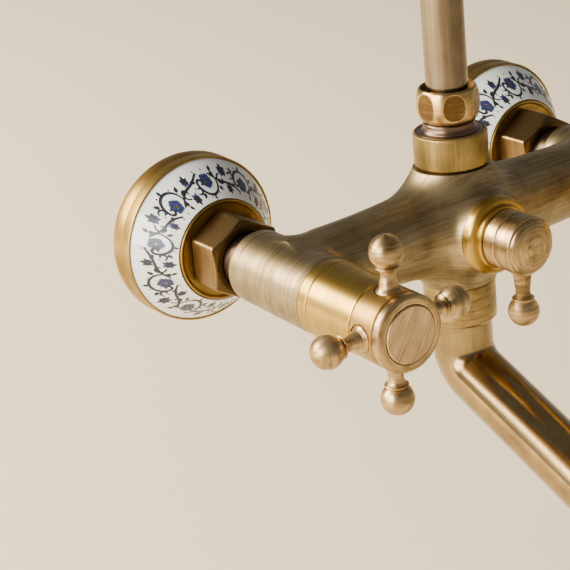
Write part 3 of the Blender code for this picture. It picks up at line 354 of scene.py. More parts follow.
def brushed(name, light, dark, roughness, pitch, length, depth, coat=0.0, patina=0.35,
            contrast=0.4, spread=0.6):
    """Brass that was brushed, aged in acid and rubbed back.

    pitch and length are a brushed line's width and length in mm, and depth its depth.
    The finer real lines can't show, so spread draws the shine out across them.
    """
    made, tree = new_material(name)
    where = add(tree, 'ShaderNodeAttribute', {"attribute_name": "lay"}, {}).outputs["Vector"]
    near = add(tree, 'ShaderNodeTexCoord', {}, {}).outputs["Object"]
    wear_and_painted_light = add(tree, 'ShaderNodeAttribute', {"attribute_name": "wear_and_painted_light"}, {}).outputs["Fac"]
    scaled = add(tree, 'ShaderNodeVectorMath', {"operation": 'MULTIPLY'}, {
        0: where, 1: (1 / length, 1 / length, 1 / pitch)}).outputs[0]
    lines = add(tree, 'ShaderNodeTexNoise', {}, {
        "Vector": scaled, "Scale": 1.0, "Detail": 3.0, "Roughness": 0.7}).outputs["Fac"]
    bands = add(tree, 'ShaderNodeVectorMath', {"operation": 'MULTIPLY'}, {
        0: where, 1: (0.5 / length, 0.5 / length, 0.22 / pitch)}).outputs[0]
    bands = add(tree, 'ShaderNodeTexNoise', {}, {
        "Vector": bands, "Scale": 1.0, "Detail": 1.0}).outputs["Fac"]
    clouds = add(tree, 'ShaderNodeTexNoise', {}, {
        "Vector": near, "Scale": 1 / (11.0 * MM), "Detail": 3.0, "Roughness": 0.6}).outputs["Fac"]
    mixed = add(tree, 'ShaderNodeMix', {"data_type": 'FLOAT'}, {
        "Factor": 0.3, "A": lines, "B": bands}).outputs["Result"]
    mixed = add(tree, 'ShaderNodeMix', {"data_type": 'FLOAT'}, {
        "Factor": patina, "A": mixed, "B": clouds}).outputs["Result"]
    # the wear attribute lightens rubbed edges and leaves patina in hollows; on the barrel nuts it
    # also carries painted shade on the spanner flats and a painted highlight round them
    rubbed = add(tree, 'ShaderNodeMath', {"operation": 'MULTIPLY_ADD'}, {
        0: wear_and_painted_light, 1: 0.14, 2: mixed}).outputs[0]
    ramp = add(tree, 'ShaderNodeValToRGB', {}, {"Fac": rubbed})
    ramp.color_ramp.elements[0].position = 0.5 - contrast / 2
    ramp.color_ramp.elements[1].position = 0.5 + contrast / 2
    ramp.color_ramp.elements[0].color = (*dark, 1)
    ramp.color_ramp.elements[1].color = (*light, 1)
    rough = add(tree, 'ShaderNodeMapRange', {}, {
        "Value": rubbed, "From Min": 0.3, "From Max": 0.7,
        "To Min": roughness * 1.25, "To Max": roughness * 0.8}).outputs["Result"]
    bump = add(tree, 'ShaderNodeBump', {}, {
        "Height": lines, "Strength": 1.0, "Distance": depth * MM}).outputs["Normal"]
    # the shine runs across the brushed lines, whichever way the piece is posed
    along = add(tree, 'ShaderNodeAttribute', {"attribute_name": "brush"}, {}).outputs["Vector"]
    along = add(tree, 'ShaderNodeVectorTransform', {
        "vector_type": 'VECTOR', "convert_from": 'OBJECT', "convert_to": 'WORLD'},
        {"Vector": along}).outputs["Vector"]
    facing = add(tree, 'ShaderNodeNewGeometry', {}, {}).outputs["Normal"]
    across = add(tree, 'ShaderNodeVectorMath', {"operation": 'CROSS_PRODUCT'}, {
        0: along, 1: facing}).outputs[0]
    shader = add(tree, 'ShaderNodeBsdfPrincipled', {}, {
        "Base Color": ramp.outputs["Color"], "Roughness": rough, "Normal": bump,
        "Metallic": 1.0, "Anisotropic": spread, "Tangent": across, "Coat Weight": coat,
        "Coat Roughness": 0.25})
    add(tree, 'ShaderNodeOutputMaterial', {}, {"Surface": shader})
    FINISHES[name] = made
    return made


def plain(name, colour, roughness, metallic=0.0, coat=0.0, mottle=0.05, grain=2.5):
    """A moulded, glazed or printed finish; its faint unevenness is grain mm across."""
    made, tree = new_material(name)
    near = add(tree, 'ShaderNodeTexCoord', {}, {}).outputs["Object"]
    clouds = add(tree, 'ShaderNodeTexNoise', {}, {
        "Vector": near, "Scale": 1 / (grain * MM), "Detail": 2.0}).outputs["Fac"]
    shade = add(tree, 'ShaderNodeMapRange', {}, {
        "Value": clouds, "To Min": 1.0 - mottle, "To Max": 1.0 + mottle}).outputs["Result"]
    base = add(tree, 'ShaderNodeVectorMath', {"operation": 'SCALE'}, {
        0: tuple(colour), "Scale": shade}).outputs[0]
    rough = add(tree, 'ShaderNodeMapRange', {}, {
        "Value": clouds, "To Min": roughness * 0.85, "To Max": roughness * 1.15})
    shader = add(tree, 'ShaderNodeBsdfPrincipled', {}, {
        "Base Color": base, "Roughness": rough.outputs["Result"], "Metallic": metallic,
        "Coat Weight": coat, "Coat Roughness": 0.05})
    add(tree, 'ShaderNodeOutputMaterial', {}, {"Surface": shader})
    FINISHES[name] = made
    return made


def make_finishes(hues):
    """Every finish on the column; hues holds the colours."""
    def brass(name, key, *numbers, **more):
        light, aged = getattr(hues, key + "_light"), getattr(hues, key + "_dark")
        brushed(name, light, aged, *numbers, **more)
    # lathe-turned brass, acid aged to olive brown and brushed back: a satin shine
    brass("brushed_antique_brass", "antique", 0.34, 0.8, 9.0, 0.06, contrast=0.28)
    # the cast body, aged the same way and brushed lengthwise: softer and duller
    brass("brushed_cast_brass", "cast", 0.45, 0.9, 22.0, 0.05, contrast=0.3, spread=0.45)
    # rubbed harder, so that the yellow metal shows through evenly
    brass("satin_gold_brass", "gold", 0.34, 0.6, 14.0, 0.02, contrast=0.5)
    # neck collars, brushed upright and left a little darker
    brass("upright_collar_brass", "collar", 0.4, 0.6, 10.0, 0.04, contrast=0.34)
    # barrel nuts: pale gold on the belly and dark in the hollow, with painted shade on the spanner
    # flats and a painted highlight round them
    brass("satin_nut_brass", "nut_gold", 0.32, 0.6, 9.0, 0.02)
    # warmer brass of the handle's turned pieces, with the lathe's lines left on
    brass("satin_rose_brass", "rose", 0.36, 0.75, 7.0, 0.08, patina=0.15, contrast=0.28)
    # blasted before ageing: fine and nearly even
    brass("blasted_gold_brass", "hub", 0.4, 0.6, 3.0, 0.01, patina=0.6, spread=0.2)
    # straight-grained disc, rubbed on a belt: long scratches one way
    brass("belt_grained_brass", "disc", 0.42, 0.8, 10.0, 0.05, patina=0.15, contrast=0.26)
    # turned rose for the wall: smooth, with a soft gloss
    brass("smooth_flange_brass", "flange", 0.4, 1.2, 24.0, 0.01, patina=0.6, spread=0.3)
    # milled hexagon, browner than its neighbours
    brass("milled_nut_brass", "nut", 0.34, 0.8, 8.0, 0.015, spread=0.3)
    # spun head: the spinning tool's rings, aged evenly over a wide sheet
    brass("spun_antique_brass", "antique", 0.34, 1.4, 90.0, 0.02, patina=0.25, contrast=0.8)
    # left dark by the ageing acid
    brass("dark_antique_brass", "dark", 0.38, 0.6, 9.0, 0.02)
    # drawn tube, polished lengthwise and aged to a greyer brown
    brass("drawn_tube_brass", "pipe", 0.26, 0.9, 60.0, 0.006, spread=0.3)
    # polished before ageing, so its reflections stay sharp
    brass("polished_antique_brass", "spout", 0.17, 1.2, 50.0, 0.004,
            patina=0.6, spread=0.0, coat=0.3)
    # white porcelain glaze: a glossy, slightly uneven coat over a white body
    plain("white_porcelain_glaze", hues.glaze, 0.08, coat=0.5, mottle=0.015, grain=16.0)
    # printed scrollwork fired on the glaze: dull beside it
    plain("sepia_print", hues.vine, 0.3, mottle=0.35, grain=1.1)
    plain("cobalt_print", hues.blossom, 0.25, mottle=0.5, grain=0.8)
    plain("gilt_print", hues.gilding, 0.25, metallic=0.9, mottle=0.15, grain=1.1)
    # moulded parts and hidden metal
    plain("black_nitrile_rubber", linear("#1d1c1c"), 0.6, mottle=0.1)
    plain("grey_silicone", linear("#4b4a48"), 0.5, mottle=0.08)
    plain("white_acetal", linear("#e6e4de"), 0.35, mottle=0.03)
    plain("stainless_steel", linear("#b9b8b4"), 0.28, metallic=1.0, mottle=0.05)


# ---- Wall flange, rosette and union
GLAZE_CROWN = 0.8


def glaze_span(node):
    """Inner radius, outer radius, edge out and top out of a rosette's glazed face."""
    back, top = out_of(node)
    return 19.5, radius_of(node) - 0.3, back + 0.9, top


def glaze_out(node, radius):
    """How far out of the wall the glaze is at a radius."""
    inner, outer, edge, top = glaze_span(node)
    share = (outer - radius) / (outer - inner)
    return edge + (top - edge) * share + 4 * GLAZE_CROWN * share * (1 - share)


def wall_flange(node, rosette, place):
    """Turned brass rose: a bell on the wall, a lip round the glaze and the nut's dish."""
    _, lip = out_of(node)
    edge, _ = out_of(rosette)
    cup = 18.97
    outline = [
        (13.4, lip - 0.9), (17.4, lip - 0.6), (18.2, lip - 0.1), (18.65, lip),
        (cup, lip - 0.35), (cup, lip - 4.8), (29.8, edge - 0.4),
        (31.1, edge - 0.2), (31.2, edge + 0.9), (31.45, edge + 1.15), (31.75, edge + 0.95),
        (31.95, edge + 0.4), (31.98, edge - 1.6), (31.8, edge - 3.4), (31.72, edge - 4.2),
        (31.85, edge - 4.9), (32.05, edge - 5.8), (32.15, 7.0), (32.1, 5.2), (31.75, 3.8),
        (31.1, 2.4), (30.3, 1.0), (29.6, 0.25), (29.2, 0.0), (27.9, 0.0), (27.9, edge - 3.9),
        (cup - 1.6, lip - 5.4), (13.4, lip - 3.8)]
    return turned(node + "_shown", outline, place, sides=144, ease=0.2)


def rosette(node, place):
    """Glazed ceramic cone between the flange's bead and its cup."""
    inner, outer, edge, top = glaze_span(node)
    back, _ = out_of(node)
    outline = [(inner - 0.25, top - 0.5), (inner + 0.1, top - 0.05)]
    steps = 14
    for i in range(steps + 1):
        radius = inner + 0.6 + (outer - 0.5 - inner - 0.6) * i / steps
        outline.append((radius, glaze_out(node, radius)))
    outline += [(outer - 0.1, edge - 0.05), (outer, edge - 0.45), (outer - 0.3, back)]
    outline += [(outer - 1.4, back), (inner - 0.25, top - 3.4)]
    return turned(node + "_shown", outline, place, sides=144, ease=0.2)


def hex_nut(node, place, across_flats, bore, chamfer):
    """Hexagon nut: corners turned off at the front, slightly rounded edges."""
    back, front = out_of(node)
    turn = []
    for side in range(6):
        for step in (-30, -29.2, -28.2, -26, -18, -9, 0, 9, 18, 26, 28.2, 29.2):
            turn.append(radians(side * 60 + step))
    local = np.mod(np.array(turn) + pi / 6, pi / 3) - pi / 6
    turn = np.array(turn) + pi / 6          # one corner points straight up
    flat = across_flats / 2 / np.cos(local)
    corner = across_flats / 2 / cos(pi / 6)
    flat = np.minimum(flat, corner - 0.25)
    face_r = across_flats / 2 - 0.6
    front_edge = front - np.maximum(flat - face_r, 0) * chamfer
    back_edge = back + np.maximum(flat - across_flats / 2 - 0.4, 0) * 0.3 + 0.25
    rows = []
    worn = []

    def row(radius, out, wear_and_painted_light):
        ones = np.ones_like(turn)
        rows.append(np.stack([-np.sin(turn) * radius, np.cos(turn) * radius, out * ones], 1))
        worn.append(wear_and_painted_light)
    # the turned front face keeps its dark patina
    row(bore, front - 0.7, -2)
    row(bore + 0.4, front - 0.15, -1.6)
    row(face_r - 1.2, front, -1.4)
    row(face_r, front - 0.02, -1.2)
    row(flat - 0.6, front_edge + 0.5 * chamfer, -1.0)
    row(flat - 0.35, front_edge + 0.3 * chamfer, 0.4)
    row(flat - 0.1, front_edge + 0.02, 1)
    row(flat, front_edge - 0.2, 1)
    row(flat, front_edge - 0.5, 0)
    row(flat, (front_edge + back) / 2, 0)
    row(flat, back_edge + 0.4, 0)
    row(flat, back_edge + 0.1, 0.6)
    row(flat - 0.3, back_edge - 0.15, 0.6)
    row(bore, back, 0)
    return skin(node + "_shown", rows, worn, True, place)


def inlet_tail(node, place):
    """Tube with a flange, which the hexagon nut draws up to the wall union."""
    back, front = out_of(node)
    r = 10.2
    outline = [(8.5, front), (8.5, front - 5.4), (r, front - 5.4), (r, back + 1.5),
               (12.7, back + 1.5), (12.7, back), (6.0, back), (6.0, front)]
    return turned(node + "_shown", outline, place, sides=64, ease=0.2)


def threaded_union(node, side, place):
    """Offset union: a parallel thread in the nut and a pipe thread in the wall."""
    back, front = out_of(node)
    step = 9.0
    thread = [(0, front), (12.3, front)]
    count = 8
    for i in range(count):
        top = front - 0.6 - i * 1.8
        thread += [(12.3, top), (13.0, top - 0.6), (13.0, top - 0.9), (12.3, top - 1.5)]
    thread += [(12.3, step), (0, step)]
    nose = turned(node + "_shown", thread, place, closed=False, sides=48, ease=0.1)
    pipe = [(0, step + 1.5), (9.6, step + 1.5), (9.6, -0.4)]
    for i in range(7):
        top = -0.4 - i * 1.8
        pipe += [(9.6, top), (10.4, top - 0.6), (10.4, top - 0.9), (9.6, top - 1.5)]
    pipe += [(9.4, back + 0.4), (9.0, back), (6.4, back), (6.0, back + 0.4), (6.0, step - 3),
             (0, step - 3)]
    turn = 1 if side == "right" else -1
    offset = place @ Matrix.Translation((5.0 * turn, 0, 0))
    tail = turned("tail", pipe, offset, closed=False, sides=48, ease=0.1)
    return crisp(cut(nose, [tail], 'UNION'))


def wall_union(side, across_flats):
    """Everything between the wall and the body on one side, but for the glaze."""
    place = inlet_place(side)
    node = "wall_flange_" + side
    fit(wall_flange(node, "ceramic_rosette_" + side, place), "column", "antique_brass",
        "smooth_flange_brass", node)
    node = "union_nut_" + side
    fit(crisp(hex_nut(node, place, across_flats, 10.6, 0.55)), "column", "dark_brass",
        "milled_nut_brass", node)
    node = "inlet_tail_" + side
    fit(inlet_tail(node, place), "column", "dark_brass", "dark_antique_brass", node)
    node = "eccentric_union_" + side
    fit(threaded_union(node, side, place), "column", "dark_brass", "dark_antique_brass", node)


# ---- Repeats round an axis
def new_tree(name, wanted):
    """An empty geometry nodes tree with named inputs, and its inputs' sockets."""
    tree = bpy.data.node_groups.new(name, 'GeometryNodeTree')
    for label, kind in (("Geometry", 'Geometry'),) + wanted:
        tree.interface.new_socket(name=label, in_out='INPUT', socket_type='NodeSocket' + kind)
    tree.interface.new_socket(name="Geometry", in_out='OUTPUT',
                              socket_type='NodeSocketGeometry')
    return tree, add(tree, 'NodeGroupInput', {}, {}).outputs


def finish_tree(tree, geometry, finish):
    """Makes the copies real, gives them their finish, and puts them out."""
    real = add(tree, 'GeometryNodeRealizeInstances', {}, {"Geometry": geometry})
    painted = add(tree, 'GeometryNodeSetMaterial', {}, {"Geometry": real, "Material": finish})
    add(tree, 'NodeGroupOutput', {}, {"Geometry": painted})
    return tree


def round_tree():
    """Geometry nodes that set copies of a motif round an axis and place the whole."""
    tree = bpy.data.node_groups.get("repeat_round_axis")
    if tree:
        return tree
    tree, given = new_tree("repeat_round_axis", (
        ("Motif", 'Object'), ("Count", 'Int'), ("Shift", 'Vector'), ("Turn", 'Vector'),
        ("Finish", 'Material')))
    motif = add(tree, 'GeometryNodeObjectInfo', {"transform_space": 'ORIGINAL'}, {
        "Object": given["Motif"]})
    points = add(tree, 'GeometryNodePoints', {}, {"Count": given["Count"]})
    number = add(tree, 'GeometryNodeInputIndex', {}, {})
    share = add(tree, 'ShaderNodeMath', {"operation": 'DIVIDE'}, {
        0: number, 1: given["Count"]})
    angle = add(tree, 'ShaderNodeMath', {"operation": 'MULTIPLY'}, {
        0: share, 1: 2 * pi})
    spin = add(tree, 'ShaderNodeCombineXYZ', {}, {"Z": angle})
    copies = add(tree, 'GeometryNodeInstanceOnPoints', {}, {
        "Points": points, "Instance": motif.outputs["Geometry"],
        "Rotation": spin})
    placed = add(tree, 'GeometryNodeTransform', {}, {
        "Geometry": copies, "Translation": given["Shift"],
        "Rotation": given["Turn"]})
    return finish_tree(tree, placed, given["Finish"])


def grow(name, tree, values):
    """Runs a geometry nodes tree on an empty mesh and keeps the result as a plain one."""
    carrier = new_object(name, bpy.data.meshes.new(name))
    step = carrier.modifiers.new("grow", 'NODES')
    step.node_group = tree
    for item in tree.interface.items_tree:
        if item.in_out == 'INPUT' and item.name in values:
            step[item.identifier] = values[item.name]
    settle(carrier)
    return carrier


def copies_round(name, motif, count, place, finish):
    """Copies of a motif, whose axis is its own Z, round the axis of a place."""
    shift = place.to_translation() * MM
    turn = place.to_euler()
    made = grow(name, round_tree(), {
        "Motif": motif, "Count": count, "Shift": shift, "Turn": turn, "Finish": FINISHES[finish]})
    bpy.data.objects.remove(motif, do_unlink=True)
    return made


# ---- Scrollwork on the rosettes
PRINT_PROUD = 0.05
PRINT_SUNK = 0.12
BAND_R = 24.9


def on_glaze(node, across, up, proud):
    """A point of a sector's drawing: across and up in mm from the middle of the band."""
    radius = BAND_R + up
    angle = across / BAND_R
    return (radius * cos(angle), radius * sin(angle), glaze_out(node, radius) + proud)


def stroke(drawing, node, points, widths):
    """A printed line through points, as a thin closed strip on the glaze."""
    verts, faces = drawing
    base = len(verts)
    count = len(points)
    for i in range(count):
        a, b = Vector(points[max(i - 1, 0)]), Vector(points[min(i + 1, count - 1)])
        way = (b - a).normalized()
        side = Vector((-way.y, way.x)) * widths[i] / 2
        x, y = points[i]
        for sign, proud in ((1, PRINT_PROUD), (-1, PRINT_PROUD), (-1, -PRINT_SUNK),
                            (1, -PRINT_SUNK)):
            verts.append(on_glaze(node, x + side.x * sign, y + side.y * sign, proud))
    for i in range(count - 1):
        a = base + i * 4
        for j in range(4):
            k = (j + 1) % 4
            faces.append((a + j, a + k, a + 4 + k, a + 4 + j))
    faces.append((base + 3, base + 2, base + 1, base))
    last = base + (count - 1) * 4
    faces.append((last, last + 1, last + 2, last + 3))


def blot(drawing, node, outline):
    """A printed leaf, petal or dot: a thin closed plate on the glaze."""
    verts, faces = drawing
    base = len(verts)
    count = len(outline)
    for x, y in outline:
        verts.append(on_glaze(node, x, y, PRINT_PROUD))
    for x, y in outline:
        verts.append(on_glaze(node, x, y, -PRINT_SUNK))
    faces.append(tuple(base + i for i in range(count)))
    faces.append(tuple(base + count + i for i in reversed(range(count))))
    for i in range(count):
        j = (i + 1) % count
        faces.append((base + i, base + count + i, base + count + j, base + j))


def spiral(x, y, start, turns, outer, inner, steps=26):
    """A curl from its outer end in to its eye; start is in degrees."""
    points = []
    for i in range(steps + 1):
        share = i / steps
        angle = radians(start + 360 * turns * share)
        reach = outer + (inner - outer) * share ** 0.8
        points.append((x + reach * cos(angle), y + reach * sin(angle)))
    return points


def leaf(x, y, angle, length, width, steps=5):
    """Outline of a pointed leaf or a petal from its foot at (x, y); angle in degrees."""
    turn = radians(angle)
    outline = []
    for i in range(2 * steps):
        share = i / (2 * steps) * 2
        back = share > 1
        t = 2 - share if back else share
        off = width / 2 * sin(pi * t ** 0.8) * (-1 if back else 1)
        ahead = t * length
        outline.append((x + ahead * cos(turn) - off * sin(turn),
                        y + ahead * sin(turn) + off * cos(turn)))
    return outline


def dot(x, y, radius, sides=7):
    """Outline of a round spot."""
    return [(x + radius * cos(2 * pi * i / sides), y + radius * sin(2 * pi * i / sides))
            for i in range(sides)]


def blossom(drawings, node, x, y, size, turn):
    """A full blossom: round petals, dark hollows between them, and a gilt eye."""
    vines, blooms, gilt = drawings
    for k in range(5):
        angle = radians(turn + k * 72)
        blot(blooms, node, dot(x + 0.6 * size * cos(angle), y + 0.6 * size * sin(angle),
                               0.39 * size, 9))
    for k in range(5):
        angle = radians(turn + 36 + k * 72)
        blot(vines, node, leaf(x + 0.2 * size * cos(angle), y + 0.2 * size * sin(angle),
                               turn + 36 + k * 72, 0.85 * size, 0.3 * size, 4))
    blot(vines, node, dot(x, y, 0.24 * size, 8))
    blot(gilt, node, dot(x, y, 0.12 * size, 6))


def sprig(drawings, node, x, y, turn, size, wide):
    """A tuft of pointed leaves with two small blue ones at its foot."""
    vines, blooms, _ = drawings
    for lean, length in ((0, 1.0), (-42, 0.8), (42, 0.8), (-88, 0.55), (88, 0.55)):
        blot(vines, node, leaf(x, y, turn + lean, size * length, size * wide))
    for lean in (140, 220):
        blot(blooms, node, leaf(x, y, turn + lean, size * 0.6, size * 0.34))


def draw_sector(node, sectors):
    """One sector of the border: scrolls round blossoms, tufts of leaves, gilt specks."""
    drawings = vines, _, gilt = ([], []), ([], []), ([], [])
    half = pi * BAND_R / sectors

    def line(points, width, taper=0.5):
        count = len(points)
        widths = [width * (taper + (1 - taper) * sin(pi * (i + 0.5) / count))
                  for i in range(count)]
        stroke(vines, node, points, widths)

    def scroll(x, y, reach, start, sweep, curl):
        """An arc that carries on into a curl at its far end, with a knob at its near end."""
        points = spiral(x, y, start, sweep / 360, reach, reach, 16)
        end = radians(start + sweep)
        eye = (x + (reach - curl) * cos(end), y + (reach - curl) * sin(end))
        way = 1 if sweep > 0 else -1
        points += spiral(eye[0], eye[1], start + sweep, 0.8 * way, curl, 0.45, 12)[1:]
        line(points, 0.85, 0.6)
        first = points[0]
        blot(vines, node, dot(first[0], first[1], 0.7, 8))
    for sign, middle in ((1, -half * 0.5), (-1, half * 0.5)):
        scroll(middle, -0.2 * sign, 3.8, -150 * sign, -215 * sign, 1.2)
        blossom(drawings, node, middle + 0.1, -0.5 * sign, 2.3, 15 * sign)
        # vine from one scroll under the next
        wave = [(middle + 2.0 + (half - 3.8) * i / 14,
                 -sign * (3.2 - 5.6 * (i / 14) ** 1.2) + 0.6 * sin(pi * i / 7) * sign)
                for i in range(15)]
        line(wave, 0.75, 0.75)
        sprig(drawings, node, middle + half * 0.5, 2.2 * sign, 90 * sign, 2.7, 0.5)
        sprig(drawings, node, middle + half * 0.46, -2.1 * sign, -100 * sign, 2.3, 0.5)
        line(spiral(middle + half * 0.62, 0.1 * sign, 100 * sign, -0.9 * sign, 1.8, 0.6, 16), 0.75)
        line(spiral(middle + half * 0.3, 1.2 * sign, 20 * sign, 0.8 * sign, 1.4, 0.5, 12), 0.7)
        for x, y, angle, size in ((-3.9, 1.6, 130, 1.9), (-3.1, -2.8, -120, 1.8),
                                  (3.5, 2.4, 50, 1.9), (4.1, -1.1, -20, 1.9),
                                  (0.2, 3.7, 100, 1.6)):
            blot(vines, node, leaf(middle + x, y * sign, angle * sign, size, size * 0.62))
        for x, y in ((-2.7, 3.4), (1.8, 4.1), (2.6, -3.7), (5.6, 0.4), (-0.5, -3.7)):
            blot(gilt, node, dot(middle + x, y * sign, 0.3, 6))
    return drawings


def scrollwork(label, node, body, place, sectors):
    """The printed border of one rosette, in its three colours."""
    drawings = draw_sector(node, sectors)
    for drawing, kind, finish in zip(drawings, ("vines", "blossoms", "gilding"),
                                     ("sepia_print", "cobalt_print", "gilt_print")):
        verts, faces = drawing
        mesh = bpy.data.meshes.new("sector")
        mesh.from_pydata([[c * MM for c in v] for v in verts], [], faces)
        tidy(mesh)
        motif = new_object("sector", mesh)
        name = "scroll_%s_%s" % (kind, label)
        made = copies_round(name, motif, sectors, place, finish)
        made.name = name
        for face in made.data.polygons:
            face.use_smooth = False
        fit(made, body, "glazed_ceramic", finish)


# ---- Bonnets and cross handles
def bonnet(side, place):
    """Ring and sleeve that cover the tap between the barrel and the handle."""
    back, front = out_of("bonnet_ring_" + side)
    r = radius_of("bonnet_ring_" + side)
    back -= 0.2
    ring = turned("bonnet_ring_%s_shown" % side, [
        (8.0, front), (r - 0.15, front), (r + 0.03, front - 0.3), (r + 0.05, front - 2.0),
        (r, back + 0.3), (r - 0.15, back), (8.0, back)], place, ease=0.15)
    fit(ring, "column", "gold_brass", "satin_gold_brass", "bonnet_ring_" + side)
    back, front = out_of("bonnet_sleeve_" + side)
    back -= 0.15
    sleeve = turned("bonnet_sleeve_%s_shown" % side, [
        (11.6, front), (13.2, front), (13.3, front - 6.0), (13.62, back + 5.0), (13.75, back + 0.3),
        (13.6, back), (8.0, back), (8.0, back + 1.6), (11.6, back + 1.6)], place, ease=0.25)
    fit(sleeve, "column", "gold_brass", "satin_gold_brass", "bonnet_sleeve_" + side)


def ball_arm_outline(ball_out, foot, ball_r):
    """Outline of a ball arm from the ball's tip down to its flared foot."""
    neck = ball_out - ball_r * sin(radians(47))
    points = [(0, ball_out + ball_r)] + arc(0, ball_out, ball_r, 84, -47, 22)
    points += [(3.5, neck - 0.25), (3.55, neck - 0.45), (4.05, neck - 0.75), (4.1, neck - 1.05),
               (3.7, neck - 1.3), (3.1, neck - 1.7), (2.75, neck - 2.5), (2.6, neck - 3.4),
               (2.62, neck - 4.4), (2.85, neck - 5.4), (3.3, foot + 1.7), (3.9, foot + 1.0),
               (4.35, foot + 0.6), (4.5, foot + 0.3)]
    return points


def brush_round_arms(arms, middle_place):
    """Points each arm's brushed lines round that arm, wherever its copy stands."""
    points = points_of(arms.data)
    matrix = np.array(middle_place, float)
    own = (points - matrix[:3, 3]) @ matrix[:3, :3]
    way = np.where(np.abs(own) >= np.abs(own).max(1, keepdims=True), np.sign(own), 0.0)
    brush = np.cross(way, own - way * (own * way).sum(1, keepdims=True)) @ matrix[:3, :3].T
    brush /= np.maximum(np.linalg.norm(brush, axis=1, keepdims=True), 1e-6)
    arms.data.attributes["brush"].data.foreach_set(
        "vector", brush.reshape(-1).astype(np.float32))


def belt_grain(disc, lean):
    """Straight grain on the index disc, leaning to the right of upright by so many degrees."""
    points = points_of(disc.data)
    up, right = cos(radians(lean)), sin(radians(lean))
    along = points[:, 0] * right + points[:, 2] * up
    across = points[:, 0] * up - points[:, 2] * right
    lay = np.stack([along, np.zeros_like(along), across], 1)
    brush = np.tile([right, 0.0, up], (len(points), 1))
    keep(disc.data, lay, brush, np.zeros(len(points)))


def cross_handle(side, ball_out, ball_r):
    """Hub, four ball arms, cap and index disc, which turn together."""
    place = inlet_place(side)
    body = side + "_handle"
    back, front = out_of("handle_hub_" + side)
    middle = (back + front) / 2
    r = 13.3
    hub = turned("handle_hub_%s_shown" % side, [
        (9.1, front), (r - 0.35, front), (r, front - 0.4), (r, back + 0.3), (r - 0.3, back),
        (11.7, back), (11.7, back + 2.6), (4.3, back + 2.6), (4.3, front - 3.0),
        (9.1, front - 3.0)], place, sides=128, ease=0.3)
    middle_place = place @ Matrix.Translation((0, 0, middle))
    seats = []
    for number in range(ARMS):
        turn = middle_place @ Matrix.Rotation(number * pi / 2, 4, 'Z')
        turn = turn @ Matrix.Rotation(pi / 2, 4, 'Y')
        seats.append(turned("seat", [(0, 16.0), (4.85, 16.0), (4.85, 12.2), (0, 12.2)], turn,
                            closed=False, sides=48, ease=0.05))
    crisp(cut(hub, seats))
    fit(hub, body, "rose_brass", "blasted_gold_brass", "handle_hub_" + side)
    outline = ball_arm_outline(ball_out, 12.5, ball_r) + [
        (4.5, 12.3), (2.0, 12.3), (2.0, 8.7), (0, 8.7)]
    sideways = Matrix.Rotation(pi / 2, 4, 'Y')
    arm = turned("arm", outline, sideways, closed=False, sides=48, ease=0.12)
    names = ["handle_arm_%d_%s" % (n + 1, side) for n in range(ARMS)]
    arms = copies_round("handle_arms_%s" % side, arm, ARMS, middle_place, "satin_rose_brass")
    brush_round_arms(arms, middle_place)
    fit(arms, body, "rose_brass", "satin_rose_brass", *names)
    back, front = out_of("handle_cap_" + side)
    back = out_of("handle_hub_" + side)[1] + 0.3
    cap = turned("handle_cap_%s_shown" % side, [
        (10.1, front), (10.9, front + 0.06), (11.7, front - 0.02)]
        + arc(11.6, front - 1.75, 1.75, 78, 6, 7)
        + [(13.3, back + 0.45), (13.0, back + 0.12), (12.6, back), (9.0, back), (9.0, back - 1.2),
           (4.0, back - 1.2), (4.0, front - 1.4), (10.1, front - 1.4)], place,
        sides=128, ease=0.22)
    fit(cap, body, "rose_brass", "satin_rose_brass", "handle_cap_" + side)
    back, front = out_of("index_disc_" + side)
    disc = turned("index_disc_%s_shown" % side, [
        (0, front), (9.5, front), (9.83, front - 0.35), (9.83, back), (0, back)], place,
        closed=False, sides=128, ease=0.15)
    belt_grain(disc, 34.0)
    fit(disc, body, "rose_brass", "belt_grained_brass", "index_disc_" + side)


# ---- Mixer body
def smooth_least(a, b, blend):
    """The smaller of two distances, run together over a blend length."""
    share = np.clip(1 - np.abs(a - b) / blend, 0, None)
    return np.minimum(a, b) - share * share * blend / 4


BARREL_X = 75.0
ARM_TIP = 74.0


def body_distance(p, end_back):
    """Distance in mm from points (x, forward of the centre line, up) to the cross body."""
    x, w, z = np.abs(p[:, 0]), p[:, 1], p[:, 2]
    share = np.clip(x / 60.0, 0, 1)
    arm_r = 14.45 + 2.6 * (0.5 + 0.5 * np.cos(pi * share)) ** 1.6
    arm_r = arm_r - np.clip((x - 61.0) / 13.4, 0, 1) * 1.2
    arm = np.maximum(np.hypot(w, z) - arm_r, x - ARM_TIP)
    hub_r = 13.75 + 3.6 * np.clip(1 - (z / 23.0) ** 2, 0, 1) ** 1.2
    hub = np.maximum(np.hypot(p[:, 0], w) - hub_r, np.abs(z) - 28.0)
    boss = np.maximum(np.maximum(np.hypot(p[:, 0], z) - 13.9, -w), w - 26.0)
    body = smooth_least(arm, hub, 12.0)
    body = smooth_least(body, boss, 5.0)
    out = BODY_OUT + w
    barrel_r = 13.4 + 0.4 * np.clip((out - end_back) / 43.0, 0, 1)
    side = np.hypot(x - BARREL_X, z) - barrel_r
    end = end_back - out
    # rounded edge at the back of the barrel
    ease = 1.6
    corner = np.minimum(np.maximum(side + ease, end + ease), 0) + np.hypot(
        np.maximum(side + ease, 0), np.maximum(end + ease, 0)) - ease
    barrel = np.maximum(corner, out - 104.0)
    return smooth_least(body, barrel, 4.5)


